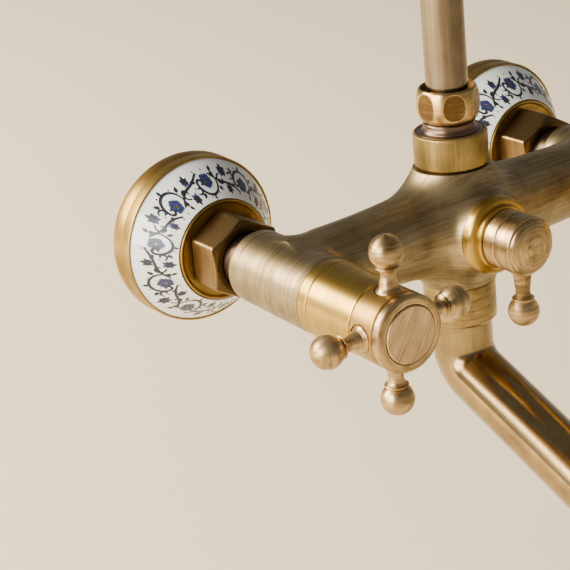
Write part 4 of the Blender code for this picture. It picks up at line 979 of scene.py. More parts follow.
def cast_body(name, cell):
    """The cross body: two end barrels, swelling arms, a hub and the diverter's boss."""
    end_back = out_of("mixer_body")[0]
    rough = []
    for outline, turn in (
            ([(0, 74.0), (14.0, 74.0), (15.5, 30.0), (17.0, 0.0), (15.5, -30.0), (14.0, -74.0),
              (0, -74.0)], Matrix.Rotation(pi / 2, 4, 'Y')),
            ([(0, 28.0), (14.5, 28.0), (18.0, 0.0), (14.5, -28.0), (0, -28.0)],
             Matrix.Identity(4)),
            ([(0, 26.0), (14.0, 26.0), (14.0, 0.0), (0, 0.0)], Matrix.Rotation(pi / 2, 4, 'X'))):
        rough.append(turned("rough", outline, COLUMN @ turn, closed=False, sides=64, ease=0.1))
    for side in SIDES:
        rough.append(turned("rough", [(0, 104.0), (13.8, 104.0), (13.4, end_back), (0, end_back)],
                            inlet_place(side), closed=False, sides=64, ease=0.8))
    joined = bmesh.new()
    for part in rough:
        joined.from_mesh(part.data)
        bpy.data.objects.remove(part, do_unlink=True)
    mesh = bpy.data.meshes.new(name)
    joined.to_mesh(mesh)
    joined.free()
    piece = new_object(name, mesh)
    step = piece.modifiers.new("cells", 'REMESH')
    step.mode = 'VOXEL'
    step.voxel_size = cell * MM
    settle(piece)
    for layer in [a for a in piece.data.attributes if a.name in ("lay", "brush", "wear_and_painted_light")]:
        piece.data.attributes.remove(layer)
    points = points_of(piece.data)
    count = len(points)
    points[:, 1] = -points[:, 1] - BODY_OUT
    for _ in range(7):
        here = body_distance(points, end_back)
        slope = np.empty_like(points)
        for axis in range(3):
            nudge = np.zeros(3)
            nudge[axis] = 0.02
            slope[:, axis] = (body_distance(points + nudge, end_back) - here) / 0.02
        size = np.maximum((slope ** 2).sum(1), 0.3)
        move = slope * (here / size)[:, None]
        reach = np.linalg.norm(move, axis=1, keepdims=True)
        points -= move * np.minimum(1, 1.5 / np.maximum(reach, 1e-9))
    slope /= np.maximum(np.linalg.norm(slope, axis=1, keepdims=True), 1e-6)
    x, w, z = points.T
    # the arms and hub were brushed lengthwise, the end barrels round their own axes
    flow = np.arctan2(z, np.maximum(w, -6.0) + 8.0) * 20.0
    lay = np.stack([x, np.zeros_like(x), flow], 1)
    brush = np.stack([np.ones_like(x), np.zeros_like(x), np.zeros_like(x)], 1)
    brush -= slope * (brush * slope).sum(1, keepdims=True)
    side = np.abs(x) - BARREL_X
    turn = np.arctan2(z, side)
    end = (np.hypot(side, z) < 14.6) & ((np.abs(x) > 61.5) | (w > 17.0))
    lay[end] = np.stack([np.cos(turn) * 14, np.sin(turn) * 14, w], 1)[end]
    round_end = np.stack([-np.sin(turn) * np.sign(x), np.zeros_like(x), np.cos(turn)], 1)
    round_end *= np.where((round_end * brush).sum(1) < 0, -1, 1)[:, None]
    reach = np.clip((np.abs(x) - 57.0) / 9.0, 0, 1)
    reach = np.maximum(reach, np.clip((w - 14.0) / 4.0, 0, 1) * (np.abs(x) > 50.0))[:, None]
    brush = brush * (1 - reach) + round_end * reach
    brush = np.stack([brush[:, 0], -brush[:, 1], brush[:, 2]], 1)
    keep(piece.data, lay, brush, np.zeros(count))
    points[:, 1] = -points[:, 1] - BODY_OUT
    piece.data.vertices.foreach_set("co", (points * MM).astype(np.float32).ravel())
    piece.data.update()
    face_flats(piece)
    return crisp(piece)


def face_flats(piece):
    """Machines the body's flat faces: the neck's two ends, the barrels' and the boss's."""
    bottom, top = rise_of("mixer_body")
    front = out_of("mixer_body")[1]
    boss_front = out_of("diverter_ring")[0] - 0.3
    work = bmesh.new()
    work.from_mesh(piece.data)
    for at, normal, reach in (
            ((0, 0, top), (0, 0, 1), None), ((0, 0, bottom), (0, 0, -1), None),
            ((0, -front, 0), (0, -1, 0), None), ((0, -boss_front, 0), (0, -1, 0), 40.0)):
        faces = [f for f in work.faces
                 if reach is None or abs(f.calc_center_median().x) < reach * MM]
        edges = {e for f in faces for e in f.edges}
        verts = {v for f in faces for v in f.verts}
        cut_made = bmesh.ops.bisect_plane(
            work, geom=list(verts) + list(edges) + faces, dist=1e-7,
            plane_co=Vector(at) * MM, plane_no=normal, clear_outer=True)
        rim = [e for e in cut_made["geom_cut"] if isinstance(e, bmesh.types.BMEdge)]
        bmesh.ops.holes_fill(work, edges=rim, sides=0)
    bmesh.ops.recalc_face_normals(work, faces=work.faces)
    work.to_mesh(piece.data)
    work.free()


# ---- Diverter
def diverter(ball_out, ball_r):
    """Stepped ring on the body's boss, and the domed knob with its ball lever."""
    place = out_place(0.0, 0.0)
    back, front = out_of("diverter_ring")
    lathe("diverter_ring", [
        (8.0, front), (11.4, front), (11.8, front - 0.4), (11.8, front - 2.0),
        (12.6, front - 2.05)] + arc(12.55, front - 4.05, 2.0, 80, 5, 7)
        + [(14.6, back + 0.3), (14.4, back), (8.0, back)], place, sides=128, ease=0.2,
        slot="antique_brass", finish="satin_gold_brass")
    front = out_of("diverter_knob")[1]
    back = out_of("diverter_ring")[1] + 0.3
    r = 10.8
    dome = [(0, front)] + [(r * 0.93 * sin(radians(a)),
                            front - 3.0 * (1 - cos(radians(a)))) for a in range(10, 91, 10)]
    knob = turned("diverter_knob_shown", dome + [
        (r - 0.1, front - 3.5), (r, front - 4.2), (r, front - 9.5), (r - 0.5, front - 10.1),
        (r - 0.5, front - 10.7), (r, front - 11.3), (r, back + 0.3), (r - 0.3, back),
        (4.2, back), (4.2, front - 6.2), (0, front - 6.2)], place, closed=False,
        sides=128, ease=0.3)
    lever_out = (front + back) / 2
    turn = place @ Matrix.Translation((0, 0, lever_out)) @ Matrix.Rotation(pi / 2, 4, 'X')
    outline = ball_arm_outline(ball_out, r * 0.8 + 1.2, ball_r) + [(4.5, r * 0.7), (0, r * 0.7)]
    lever = turned("lever", outline, turn, closed=False, sides=48, ease=0.12)
    cut(knob, [lever], 'UNION')
    crisp(knob)
    fit(knob, "diverter_handle", "rose_brass", "satin_rose_brass", "diverter_knob")


# ---- Riser
def collar(node, bore, place, flush, upright):
    """Plain ring with a fine bevel; a flush one is level on top, the other is dished."""
    bottom, top = rise_of(node)
    r = radius_of(node)
    land = r - 1.3
    outline = [(bore, top - 1.6), (land - 0.3, top - 1.3 * (1 - flush)), (land, top - 0.15)]
    outline += [(land + 0.35, top), (r - 0.75, top), (r - 0.2, top - 0.45), (r, top - 1.3)]
    outline += [(r, bottom + 0.9), (r - 0.7, bottom + 0.05), (bore, bottom)]
    return turned(node + "_shown", outline, place, sides=128, ease=0.2, upright=upright)


def barrel_nut(node, place, flat_r):
    """Round nut with a bellied side and six round spanner flats ground on the belly."""
    bottom, top = rise_of(node)
    belly = radius_of(node) + 0.05
    middle = (top + bottom) / 2
    half = (top - bottom) / 2
    sides = 240
    turn = full_turn(sides)
    local = np.mod(turn + pi / 6 - radians(2), pi / 3) - pi / 6
    plane = flat_r / np.cos(local)
    # the hollow top, which the pipe stands in
    profile = [(8.05, top - 3.4), (9.3, top - 3.2), (9.6, top - 2.8), (9.75, top - 0.5),
               (9.85, top - 0.12), (10.0, top), (10.15, top - 0.05), (10.3, top - 0.3)]
    worn = [-2, -2, -1.5, 0, 1, 1, 1, 0.5]
    rows = 52
    for i in range(rows + 1):
        z = middle + (half - 0.55) * (1 - 2 * i / rows)
        share = abs(z - middle) / half
        profile.append((belly - (1.15 if z > middle else 1.85) * share ** 2.6, z))
        worn.append(0.9)
    profile += [(9.45, bottom + 0.3), (9.25, bottom + 0.05), (9.0, bottom), (8.2, bottom)]
    worn += [0.3, 0.6, 0.3, 0]
    rings = np.empty((len(profile), sides, 3))
    edge = np.empty((len(profile), sides))
    for i, (r, z) in enumerate(profile):
        radius = np.minimum(r, plane)
        rings[i, :, 0] = radius * np.cos(turn)
        rings[i, :, 1] = radius * np.sin(turn)
        rings[i, :, 2] = z
        # painted shade darkens the flats, and a painted highlight brightens them where they meet
        # the belly
        edge[i] = worn[i] + 0.8 * np.exp(-((r - plane) / 0.07) ** 2)
        edge[i] -= 2.3 * (r > plane + 0.1)
    return skin(node + "_shown", rings, edge, True, place)


def riser(flat_r):
    """Everything from the body's neck up to the rain head's ball."""
    collar_piece = collar("top_collar", 9.8, COLUMN, 0.0, True)
    fit(collar_piece, "column", "gold_brass", "upright_collar_brass", "top_collar")
    bottom, top = rise_of("riser_nipple")
    r = radius_of("riser_nipple")
    face = rise_of("riser_nut")[0] - 0.3
    # a flange of the nipple lies in the collar's dished top
    seat = rise_of("top_collar")[1]
    lathe("riser_nipple", [
        (5.2, top), (7.6, top), (7.6, face),
        (r - 0.3, face), (r, face - 0.4), (r + 0.05, face - 1.4),
        (r + 0.3, face - 2.2), (r + 0.9, face - 2.9), (r + 1.0, seat + 0.1), (11.9, seat - 0.1),
        (12.15, seat - 0.3), (12.15, seat - 0.9), (r, seat - 0.9), (r, bottom), (5.2, bottom)],
        COLUMN, sides=96, ease=0.2, slot="dark_brass", finish="dark_antique_brass")
    for node in ("riser_nut", "arm_nut"):
        nut = barrel_nut(node, COLUMN, flat_r)
        fit(nut, "column", "gold_brass", "satin_nut_brass", node)
    bottom, top = rise_of("riser_pipe")
    r = radius_of("riser_pipe")
    lathe("riser_pipe", [
        (r - 1.2, top), (r - 0.1, top), (r, top - 0.4), (r, bottom + 0.4), (r - 0.1, bottom),
        (r - 1.2, bottom)], COLUMN, sides=96, ease=0.1, upright=True,
        slot="dark_brass", finish="drawn_tube_brass")
    gooseneck()


def gooseneck():
    """Riser's top bend: straight up, a half circle forwards, straight down."""
    low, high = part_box("shower_arm")
    r = (high.x - low.x) / 2 / MM
    start = low.z / MM
    reach = (high.y - low.y) / MM - 2 * r
    arch_z = high.z / MM - r - reach / 2
    end = rise_of("head_ball")[1] + 0.3 - 9.0
    bend_r = reach / 2
    path, headings, radii = [], [], []

    def put(y, z, heading, radius):
        path.append((y, z))
        headings.append(heading)
        radii.append(radius)
    put(0, start, pi, r - 1.2)
    put(0, start, pi, r - 0.1)
    put(0, start + 0.3, pi, r)
    for i in range(10):
        put(0, start + 1 + (arch_z - start - 1) * i / 9, pi, r)
    for i in range(1, 72):
        angle = pi * i / 72
        put(-bend_r + bend_r * cos(angle), arch_z + bend_r * sin(angle), pi - angle, r)
    for i in range(5):
        put(-reach, arch_z + (end + 1 - arch_z) * i / 4, 0.0, r)
    put(-reach, end + 0.3, 0.0, r)
    put(-reach, end, 0.0, r - 0.1)
    put(-reach, end, 0.0, r - 1.2)
    for i in range(71, 0, -3):
        angle = pi * i / 72
        put(-bend_r + bend_r * cos(angle), arch_z + bend_r * sin(angle), pi - angle, r - 1.2)
    rings = along_path(path, headings, radii, 64)
    arm = skin("shower_arm_shown", rings, [0.0] * len(rings), True, COLUMN, True)
    fit(arm, "column", "dark_brass", "drawn_tube_brass", "shower_arm")


# ---- Bracket
def bracket(sectors):
    """Glazed wall rose, stem and clamp that hold the riser."""
    middle = centre_of("bracket_flange")
    place = out_place(middle.x, middle.z)
    flange = wall_flange("bracket_flange", "bracket_rosette", place)
    fit(flange, "column", "antique_brass", "smooth_flange_brass", "bracket_flange")
    glaze = rosette("bracket_rosette", place)
    fit(glaze, "column", "glazed_ceramic", "white_porcelain_glaze", "bracket_rosette")
    scrollwork("bracket", "bracket_rosette", "column", place, sectors)
    back, front = out_of("bracket_stem")
    r = radius_of("bracket_stem")
    collar_out = out_of("bracket_rosette")[1] + 0.6
    lathe("bracket_stem", [(0, front), (6.0, front), (6.0, collar_out + 5.4)]
        + arc(8.0, collar_out + 5.6, 2.0, 180, 262, 6)
        + [(r - 2.2, collar_out + 3.6), (r - 0.8, collar_out + 3.1), (r, collar_out + 2.1),
           (r, collar_out + 0.7), (r - 0.4, collar_out), (13.0, collar_out), (13.0, back),
           (0, back)], place, closed=False, sides=96, ease=0.3,
        slot="antique_brass", finish="brushed_antique_brass")
    ring_middle = (rise_of("bracket_clamp")[0] + rise_of("bracket_clamp")[1]) / 2
    ring_place = COLUMN @ Matrix.Translation((0, 0, ring_middle))
    r = radius_of("bracket_clamp")
    ring = turned("bracket_clamp_shown", [
        (7.95, 10.0), (r - 1.2, 10.0), (r - 0.3, 9.4), (r, 8.4), (r, 6.6), (r - 0.5, 6.1),
        (r - 0.5, 5.7), (r, 5.2), (r, -5.2), (r - 0.5, -5.7), (r - 0.5, -6.1), (r, -6.6),
        (r, -8.4), (r - 0.3, -9.4), (r - 1.2, -10.0), (7.95, -10.0)], ring_place,
        sides=96, ease=0.25)
    to_wall = ring_place @ Matrix.Rotation(-pi / 2, 4, 'X')
    socket_end = BODY_OUT - out_of("bracket_clamp")[0]
    socket = turned("socket", [
        (0, socket_end), (8.6, socket_end), (9.0, socket_end - 0.4), (9.0, socket_end - 1.6),
        (8.6, socket_end - 2.0), (8.6, socket_end - 2.6), (9.0, socket_end - 3.0), (9.0, 9.0),
        (0, 9.0)], to_wall, closed=False, sides=64, ease=0.2)
    bore = turned("bore", [(0, socket_end + 2), (6.3, socket_end + 2), (6.3, r + 1.7),
                           (0, r + 1.7)], to_wall, closed=False, sides=64, ease=0.05)
    pipe_bore = turned("pipe_bore", [(0, 14.0), (7.95, 14.0), (7.95, -14.0), (0, -14.0)],
                       ring_place, closed=False, sides=96, ease=0.05)
    cut(ring, [socket], 'UNION')
    crisp(cut(ring, [bore, pipe_bore]))
    fit(ring, "column", "antique_brass", "brushed_antique_brass", "bracket_clamp")


# ---- Rain head
def nozzle_tree():
    """Geometry nodes that set nozzles in rings, six more in each ring than the last."""
    tree, given = new_tree("nozzle_rings", (
        ("Nozzle", 'Object'), ("Rings", 'Int'), ("Ring Spacing", 'Float'),
        ("Centre", 'Vector'), ("Finish", 'Material')))
    # nozzles up to ring n number 3 n (n + 1), after the one in the middle
    more = add(tree, 'ShaderNodeMath', {"operation": 'ADD'}, {0: given["Rings"], 1: 1.0})
    thrice = add(tree, 'ShaderNodeMath', {"operation": 'MULTIPLY'}, {0: given["Rings"], 1: 3.0})
    total = add(tree, 'ShaderNodeMath', {"operation": 'MULTIPLY_ADD'}, {
        0: thrice, 1: more, 2: 1.0})
    points = add(tree, 'GeometryNodePoints', {}, {"Count": total})
    number = add(tree, 'GeometryNodeInputIndex', {}, {})
    under = add(tree, 'ShaderNodeMath', {"operation": 'MULTIPLY_ADD'}, {
        0: number, 1: 12.0, 2: 9.0})
    root = add(tree, 'ShaderNodeMath', {"operation": 'SQRT'}, {0: under})
    rise = add(tree, 'ShaderNodeMath', {"operation": 'MULTIPLY_ADD'}, {
        0: root, 1: 1 / 6, 2: -0.5002})
    ring = add(tree, 'ShaderNodeMath', {"operation": 'CEIL'}, {0: rise})
    less = add(tree, 'ShaderNodeMath', {"operation": 'SUBTRACT'}, {0: ring, 1: 1.0})
    before = add(tree, 'ShaderNodeMath', {"operation": 'MULTIPLY'}, {0: ring, 1: less})
    in_ring = add(tree, 'ShaderNodeMath', {"operation": 'MULTIPLY_ADD'}, {
        0: before, 1: -3.0, 2: number})
    share = add(tree, 'ShaderNodeMath', {"operation": 'DIVIDE'}, {0: in_ring, 1: ring})
    angle = add(tree, 'ShaderNodeMath', {"operation": 'MULTIPLY'}, {0: share, 1: pi / 3})
    turn = add(tree, 'ShaderNodeCombineXYZ', {}, {"Z": angle})
    reach = add(tree, 'ShaderNodeMath', {"operation": 'MULTIPLY'}, {
        0: ring, 1: given["Ring Spacing"]})
    straight = add(tree, 'ShaderNodeCombineXYZ', {}, {"X": reach})
    swung = add(tree, 'ShaderNodeVectorRotate', {"rotation_type": 'EULER_XYZ'}, {
        "Vector": straight, "Rotation": turn})
    where = add(tree, 'ShaderNodeVectorMath', {"operation": 'ADD'}, {
        0: swung, 1: given["Centre"]})
    set_out = add(tree, 'GeometryNodeSetPosition', {}, {
        "Geometry": points, "Position": where})
    nozzle = add(tree, 'GeometryNodeObjectInfo', {"transform_space": 'ORIGINAL'}, {
        "Object": given["Nozzle"]})
    copies = add(tree, 'GeometryNodeInstanceOnPoints', {}, {
        "Points": set_out, "Instance": nozzle.outputs["Geometry"]})
    return finish_tree(tree, copies, given["Finish"])


def rain_head(rings, spacing, nozzle_r):
    """Ball joint, nut, spun shell, face plate and nozzles."""
    middle = centre_of("head_shell")
    shell_low, shell_high = rise_of("head_shell")
    place = Matrix.Translation((middle.x, middle.y, 0))
    ball_low, ball_high = rise_of("head_ball")
    ball_z = ball_low + 10.0
    lathe("head_ball", [
        (0, ball_high - 9.0), (7.95, ball_high - 9.0), (7.95, ball_high),
        (10.2, ball_high), (10.6, ball_high - 0.5), (10.6, ball_high - 3.0),
        (10.2, ball_high - 3.4), (10.2, ball_high - 4.0), (10.6, ball_high - 4.4),
        (10.6, ball_z + 21.0), (9.6, ball_z + 19.6), (7.0, ball_z + 18.4), (5.2, ball_z + 17.0),
        (4.6, ball_z + 15.0)] + arc(0, ball_z, 10.0, 63, -90, 20),
        place, closed=False, sides=96, ease=0.2,
        slot="antique_brass", finish="brushed_antique_brass")
    low, top = rise_of("head_nut")
    r = radius_of("head_nut")
    mouth = sqrt(13.0 ** 2 - (top - 0.5 - ball_z) ** 2)
    lathe("head_nut", [
        (mouth, top - 0.1), (r - 3.4, top), (r - 1.8, top - 0.7), (r - 0.5, top - 2.4),
        (r, top - 4.0), (r, top - 6.4), (r - 0.6, top - 7.0), (r - 0.6, top - 7.8),
        (r, top - 8.4), (r, low + 3.0), (r - 0.6, low + 2.5), (r - 0.6, low + 2.0),
        (r, low + 1.5), (r, low + 0.6), (r - 0.6, low), (14.3, low), (14.3, ball_z - 6.0),
        (13.0, ball_z - 6.0), (13.0, ball_z), (12.3, ball_z + 4.2)], place, sides=96, ease=0.25,
        body="rain_head", slot="antique_brass", finish="satin_gold_brass")
    shoulder = low - 0.3
    rim_top = shoulder - 5.0 - 14.0
    big = radius_of("head_shell")
    outline = [(11.0, shell_high), (13.6, shell_high), (14.0, shell_high - 0.4),
               (14.0, shoulder), (18.0, shoulder), (19.0, shoulder - 0.6), (19.4, shoulder - 1.8),
               (19.2, shoulder - 3.6), (20.4, shoulder - 4.9)]
    for i in range(1, 25):
        share = i / 24
        outline.append((19.0 + (big - 21.2) * share, shoulder - 5.0 - 14.0 * share ** 1.8))
    outline += [(big - 1.2, rim_top - 0.7), (big - 0.4, rim_top - 1.2), (big, rim_top - 2.0),
                (big, shell_low + 1.6), (big - 0.4, shell_low + 0.5), (big - 0.9, shell_low),
                (big - 1.6, shell_low), (big - 1.6, rim_top - 3.0)]
    for i in range(8, -1, -1):
        share = i / 8
        outline.append((18.6 + (big - 21.2) * share, shoulder - 6.6 - 14.0 * share ** 1.8))
    outline += [(11.0, shoulder - 5.0)]
    lathe("head_shell", outline, place, sides=160, ease=0.3,
        body="rain_head", slot="antique_brass", finish="spun_antique_brass")
    face_low, face_top = rise_of("head_face")
    r = radius_of("head_face")
    lathe("head_face", [
        (0, face_top), (r, face_top), (r, face_low + 0.3), (r - 0.3, face_low),
        (r - 3.6, face_low), (r - 4.0, face_low + 0.3), (r - 4.6, face_low + 0.3),
        (r - 5.0, face_low), (0, face_low)], place, closed=False, sides=160, ease=0.15,
        body="rain_head", slot="antique_brass", finish="spun_antique_brass")
    # soft nozzle that is rubbed to clear limescale
    nub = turned("nub", [
        (0, 0.5), (nozzle_r + 0.5, 0.5), (nozzle_r + 0.5, -0.25), (nozzle_r, -0.5),
        (nozzle_r * 0.75, -1.9), (nozzle_r * 0.4, -2.0), (nozzle_r * 0.35, -1.2), (0, -1.2)],
        Matrix.Identity(4), closed=False, sides=10, ease=0.0)
    centre = Vector((middle.x, middle.y, face_low)) * MM
    nozzles = grow("nozzles", nozzle_tree(), {
        "Nozzle": nub, "Rings": rings, "Ring Spacing": spacing * MM, "Centre": centre,
        "Finish": FINISHES["grey_silicone"]})
    bpy.data.objects.remove(nub, do_unlink=True)
    fit(nozzles, "rain_head", "black_rubber", "grey_silicone")


# ---- Spout
def spout_line(start_z, sizes):
    """Centre line and headings of the spout: down, forwards, along, and down again."""
    drop = sizes.spout_drop / MM
    path = [(0.0, start_z), (0.0, start_z - drop / 2), (0.0, start_z - drop)]
    headings = [0.0, 0.0, 0.0]

    def bend(heading, turn, radius, steps):
        for _ in range(steps):
            half = turn / steps / 2
            chord = 2 * radius * sin(abs(half))
            heading += half
            y, z = path[-1]
            path.append((y - sin(heading) * chord, z - cos(heading) * chord))
            heading += half
            headings.append(heading)
        return heading

    def along(heading, length, steps):
        for _ in range(steps):
            y, z = path[-1]
            path.append((y - sin(heading) * length / steps, z - cos(heading) * length / steps))
            headings.append(heading)
    heading = bend(0.0, sizes.spout_turn, sizes.spout_bend / MM, 22)
    along(heading, sizes.spout_run / MM, 12)
    heading = bend(heading, -sizes.nose_turn, sizes.nose_bend / MM, 18)
    along(heading, sizes.nose_length / MM, 3)
    return path, headings


def spout(sizes):
    """Spout collar, bent spout and aerator."""
    collar_piece = collar("spout_collar", 9.4, COLUMN, 1.0, False)
    fit(collar_piece, "column", "gold_brass", "brushed_antique_brass", "spout_collar")
    start = rise_of("spout_collar")[0] - 0.4
    path, headings = spout_line(start, sizes)
    r = radius_of("spout")
    radii = [r] * len(path)
    mouth, heading = path[-1], headings[-1]
    ends = [((0.0, start + 11.0), 0.0, 0.0), ((0.0, start + 11.0), 0.0, 8.8),
            ((0.0, start), 0.0, 8.8), ((0.0, start), 0.0, r - 0.5)]
    path = [e[0] for e in ends] + path
    headings = [e[1] for e in ends] + headings
    radii = [e[2] for e in ends] + radii
    radii[4] = r - 0.12
    for back, radius in ((0.0, r - 0.25), (0.0, 9.9), (-0.5, 9.7), (-9.3, 9.7), (-9.3, 0.0)):
        path.append((mouth[0] - sin(heading) * back, mouth[1] - cos(heading) * back))
        headings.append(heading)
        radii.append(radius)
    rings = along_path(path, headings, radii, 96)
    made = skin("spout_shown", rings, [0.0] * len(rings), False, COLUMN, True)
    crisp(made, 40)
    fit(made, "spout", "antique_brass", "polished_antique_brass", "spout")
    aerator(mouth, heading)


def aerator(mouth, heading):
    """Threaded ring in the mouth of the spout, with its perforated straightener."""
    place = COLUMN @ Matrix.Translation((0, mouth[0], mouth[1])) @ Matrix.Rotation(
        pi - heading, 4, 'X')
    lathe("aerator", [
        (6.4, 1.6), (8.6, 1.6), (9.4, 0.8), (9.4, -9.0), (6.0, -9.0), (6.0, 1.2)], place,
        sides=96, ease=0.2, body="spout", slot="dark_brass", finish="dark_antique_brass")
    hole = turned("wire", [(0.75, 0.4), (1.0, 0.2), (1.0, -0.2), (0.75, -0.4)],
                  Matrix.Identity(4), sides=10, ease=0.0)
    centre = Vector((0, 0, 0))
    grid = grow("aerator_grid", bpy.data.node_groups["nozzle_rings"], {
        "Nozzle": hole, "Rings": 2, "Ring Spacing": 2.05 * MM, "Centre": centre,
        "Finish": FINISHES["stainless_steel"]})
    bpy.data.objects.remove(hole, do_unlink=True)
    flat = place.copy()
    flat.translation = flat.translation * MM
    grid.data.transform(flat)
    grid.name = "aerator_grid"
    fit(grid, "spout", "dark_brass", "stainless_steel")


# ---- Pieces inside
def dress_inside():
    """Finishes for the pieces inside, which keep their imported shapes."""
    finish_of = {
        "union_washer": "black_nitrile_rubber", "cartridge": "brushed_antique_brass",
        "handle_screw": "stainless_steel", "ball_seat": "white_acetal",
        "nozzle_mat": "black_nitrile_rubber"}
    for node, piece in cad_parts.items():
        if piece.hide_render:
            continue
        finish = "satin_gold_brass"
        for start, value in finish_of.items():
            if node.startswith(start):
                finish = value
        for slot in piece.material_slots:
            slot.material = FINISHES[finish]


# ---- Stage
def softbox(name, at, look_at, width, height, power, colour):
    """Rectangular lamp that faces a point and doesn't show itself."""
    light = bpy.data.lights.new(name, 'AREA')
    light.shape = 'RECTANGLE'
    light.size = width
    light.size_y = height
    light.energy = power
    light.color = linear(colour)
    lamp = new_object(name, light)
    lamp.location = at
    way = Vector(look_at) - Vector(at)
    lamp.rotation_euler = way.to_track_quat('-Z', 'Y').to_euler()
    lamp.visible_camera = False


def stage(studio):
    """Floor, soft light from the left and behind, dim surroundings, and the camera."""
    floor_z = rise_of("spout")[0] * MM - 0.03
    mesh = bpy.data.meshes.new("floor")
    half = 25.0
    mesh.from_pydata([(-half, -half, floor_z), (half, -half, floor_z), (half, half, floor_z),
                      (-half, half, floor_z)], [], [(0, 1, 2, 3)])
    floor = new_object("floor", mesh)
    made, tree = new_material("pale_matt_floor")
    shader = add(tree, 'ShaderNodeBsdfPrincipled', {}, {
        "Base Color": (*studio.floor, 1), "Roughness": 0.9})
    add(tree, 'ShaderNodeOutputMaterial', {}, {"Surface": shader})
    mesh.materials.append(made)
    world = bpy.data.worlds.new("studio")
    bpy.context.scene.world = world
    world.use_nodes = True
    tree = world.node_tree
    tree.nodes.clear()
    way = add(tree, 'ShaderNodeTexCoord', {}, {}).outputs["Generated"]
    up = add(tree, 'ShaderNodeSeparateXYZ', {}, {0: way}).outputs["Z"]
    ramp = add(tree, 'ShaderNodeValToRGB', {}, {"Fac": up})
    ramp.color_ramp.elements[0].position = 0.0
    ramp.color_ramp.elements[0].color = (0.54, 0.52, 0.49, 1)
    ramp.color_ramp.elements[1].position = 0.5
    ramp.color_ramp.elements[1].color = (0.19, 0.19, 0.19, 1)
    sky = add(tree, 'ShaderNodeBackground', {}, {"Color": ramp.outputs["Color"], "Strength": 1.0})
    add(tree, 'ShaderNodeOutputWorld', {}, {"Surface": sky})
    heart = (0.0, -BODY_OUT * MM, 0.0)
    softbox("key_softbox", (-1.8, -0.17, 0.55), heart, 1.2, 1.1, studio.key_power, "#fff8ec")
    softbox("floor_softbox", (-1.5, 1.3, 1.1), (-0.1, 0.9, -0.15), 1.4, 1.0,
            studio.floor_power, "#fff2dc")
    camera = bpy.data.cameras.new("camera")
    camera.sensor_width = 36.0
    camera.lens = studio.lens
    camera.clip_start = 0.02
    camera.clip_end = 100.0
    stand = new_object("camera", camera)
    right = Vector((0.81350, -0.57303, -0.09929))
    upward = Vector((0.29942, 0.26633, 0.91620))
    ahead = Vector((0.49856, 0.77505, -0.38824))
    turn = Matrix((right, upward, -ahead)).transposed().to_4x4()
    stand.matrix_world = Matrix.Translation((-0.35488, -0.50388, 0.21481)) @ turn
    bpy.context.scene.camera = stand


# ---- Settings
def hue(name, code, about):
    """A colour setting; its default is an sRGB hex colour."""
    return FloatVectorProperty(name=name, description=about, subtype='COLOR', size=3, min=0.0,
                               max=1.0, default=linear(code))


def length(name, mm, about):
    """A size setting; its default is in mm."""
    return FloatProperty(name=name, description=about, unit='LENGTH', min=0.0,
                         default=mm * MM)


def angle(name, degrees, about):
    """An angle setting; its default is in degrees."""
    return FloatProperty(name=name, description=about, unit='ROTATION', default=radians(degrees))


# kind of brass, its name, its colour where it is rubbed back, and where the patina stays
BRASSES = (
    ("antique", "Antique brass", "#bda26b", "#65502b"),
    ("cast", "Cast body", "#b8a57e", "#68573b"),
    ("gold", "Gold brass", "#d8b55c", "#917133"),
    ("collar", "Neck collar", "#ac955c", "#735b31"),
    ("nut_gold", "Barrel nuts", "#cdab72", "#6e522f"),
    ("rose", "Handle brass", "#d4b685", "#7d6342"),
    ("hub", "Handle hub", "#b7934f", "#7f5d2e"),
    ("disc", "Index disc", "#e3c49a", "#a3845e"),
    ("flange", "Wall rose", "#bc9a52", "#755727"),
    ("nut", "Hexagon nuts", "#94784c", "#594529"),
    ("dark", "Dark brass", "#8a7260", "#47382d"),
    ("pipe", "Drawn tube", "#94846f", "#5d5040"),
    ("spout", "Polished spout", "#b59a68", "#735b35"))


class ShowerFinishes(bpy.types.PropertyGroup):
    """Colours of the finishes; each brass has a rubbed colour and an aged one."""
    glaze: hue("Glaze", "#e0e3e4", "White glaze of the rosettes")
    vine: hue("Vines", "#20202c", "Printed vines and leaves")
    blossom: hue("Blossoms", "#2c3763", "Printed blossoms")
    gilding: hue("Gilding", "#b98a3f", "Gilt specks")


for key, title, light, aged in BRASSES:
    ShowerFinishes.__annotations__[key + "_light"] = hue(
        title + ", rubbed", light, title + " where rubbed back")
    ShowerFinishes.__annotations__[key + "_dark"] = hue(
        title + ", aged", aged, title + " where the patina stays")


class ShowerSizes(bpy.types.PropertyGroup):
    """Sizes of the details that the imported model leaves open."""
    nut_flats: length("Union nut flats", 28.0, "Across the flats of the hexagon nuts")
    border_sectors: IntProperty(
        name="Border repeats", description="Repeats of the printed border round a rosette",
        default=5, min=3, max=12)
    ball_out: length("Ball arm reach", 26.0, "From a handle's axis to the middle of a ball")
    ball_r: length("Ball radius", 5.7, "Radius of the ball on each arm")
    barrel_flat: length("Barrel nut flats", 10.72, "From a barrel nut's axis to its flats")
    body_cell: length("Body cell", 0.8, "Size of the cast body's mesh cells")
    nozzle_rings: IntProperty(
        name="Nozzle rings", description="Rings of nozzles on the rain head's face",
        default=8, min=1, max=9)
    nozzle_spacing: length("Nozzle spacing", 11.2, "Between one ring of nozzles and the next")
    nozzle_r: length("Nozzle radius", 1.6, "Radius of a nozzle where it leaves the face")
    spout_drop: length("Spout drop", 9.7, "Straight fall of the spout under its collar")
    spout_bend: length("Spout bend", 13.5, "Radius of the spout's first bend")
    spout_turn: angle("Spout turn", 67.8, "How far the first bend turns forwards")
    spout_run: length("Spout run", 113.0, "Length of the spout between its bends")
    nose_bend: length("Nose bend", 17.0, "Radius of the bend at the spout's mouth")
    nose_turn: angle("Nose turn", 57.8, "How far the mouth turns down again")
    nose_length: length("Nose length", 5.0, "Straight end of the spout at its mouth")


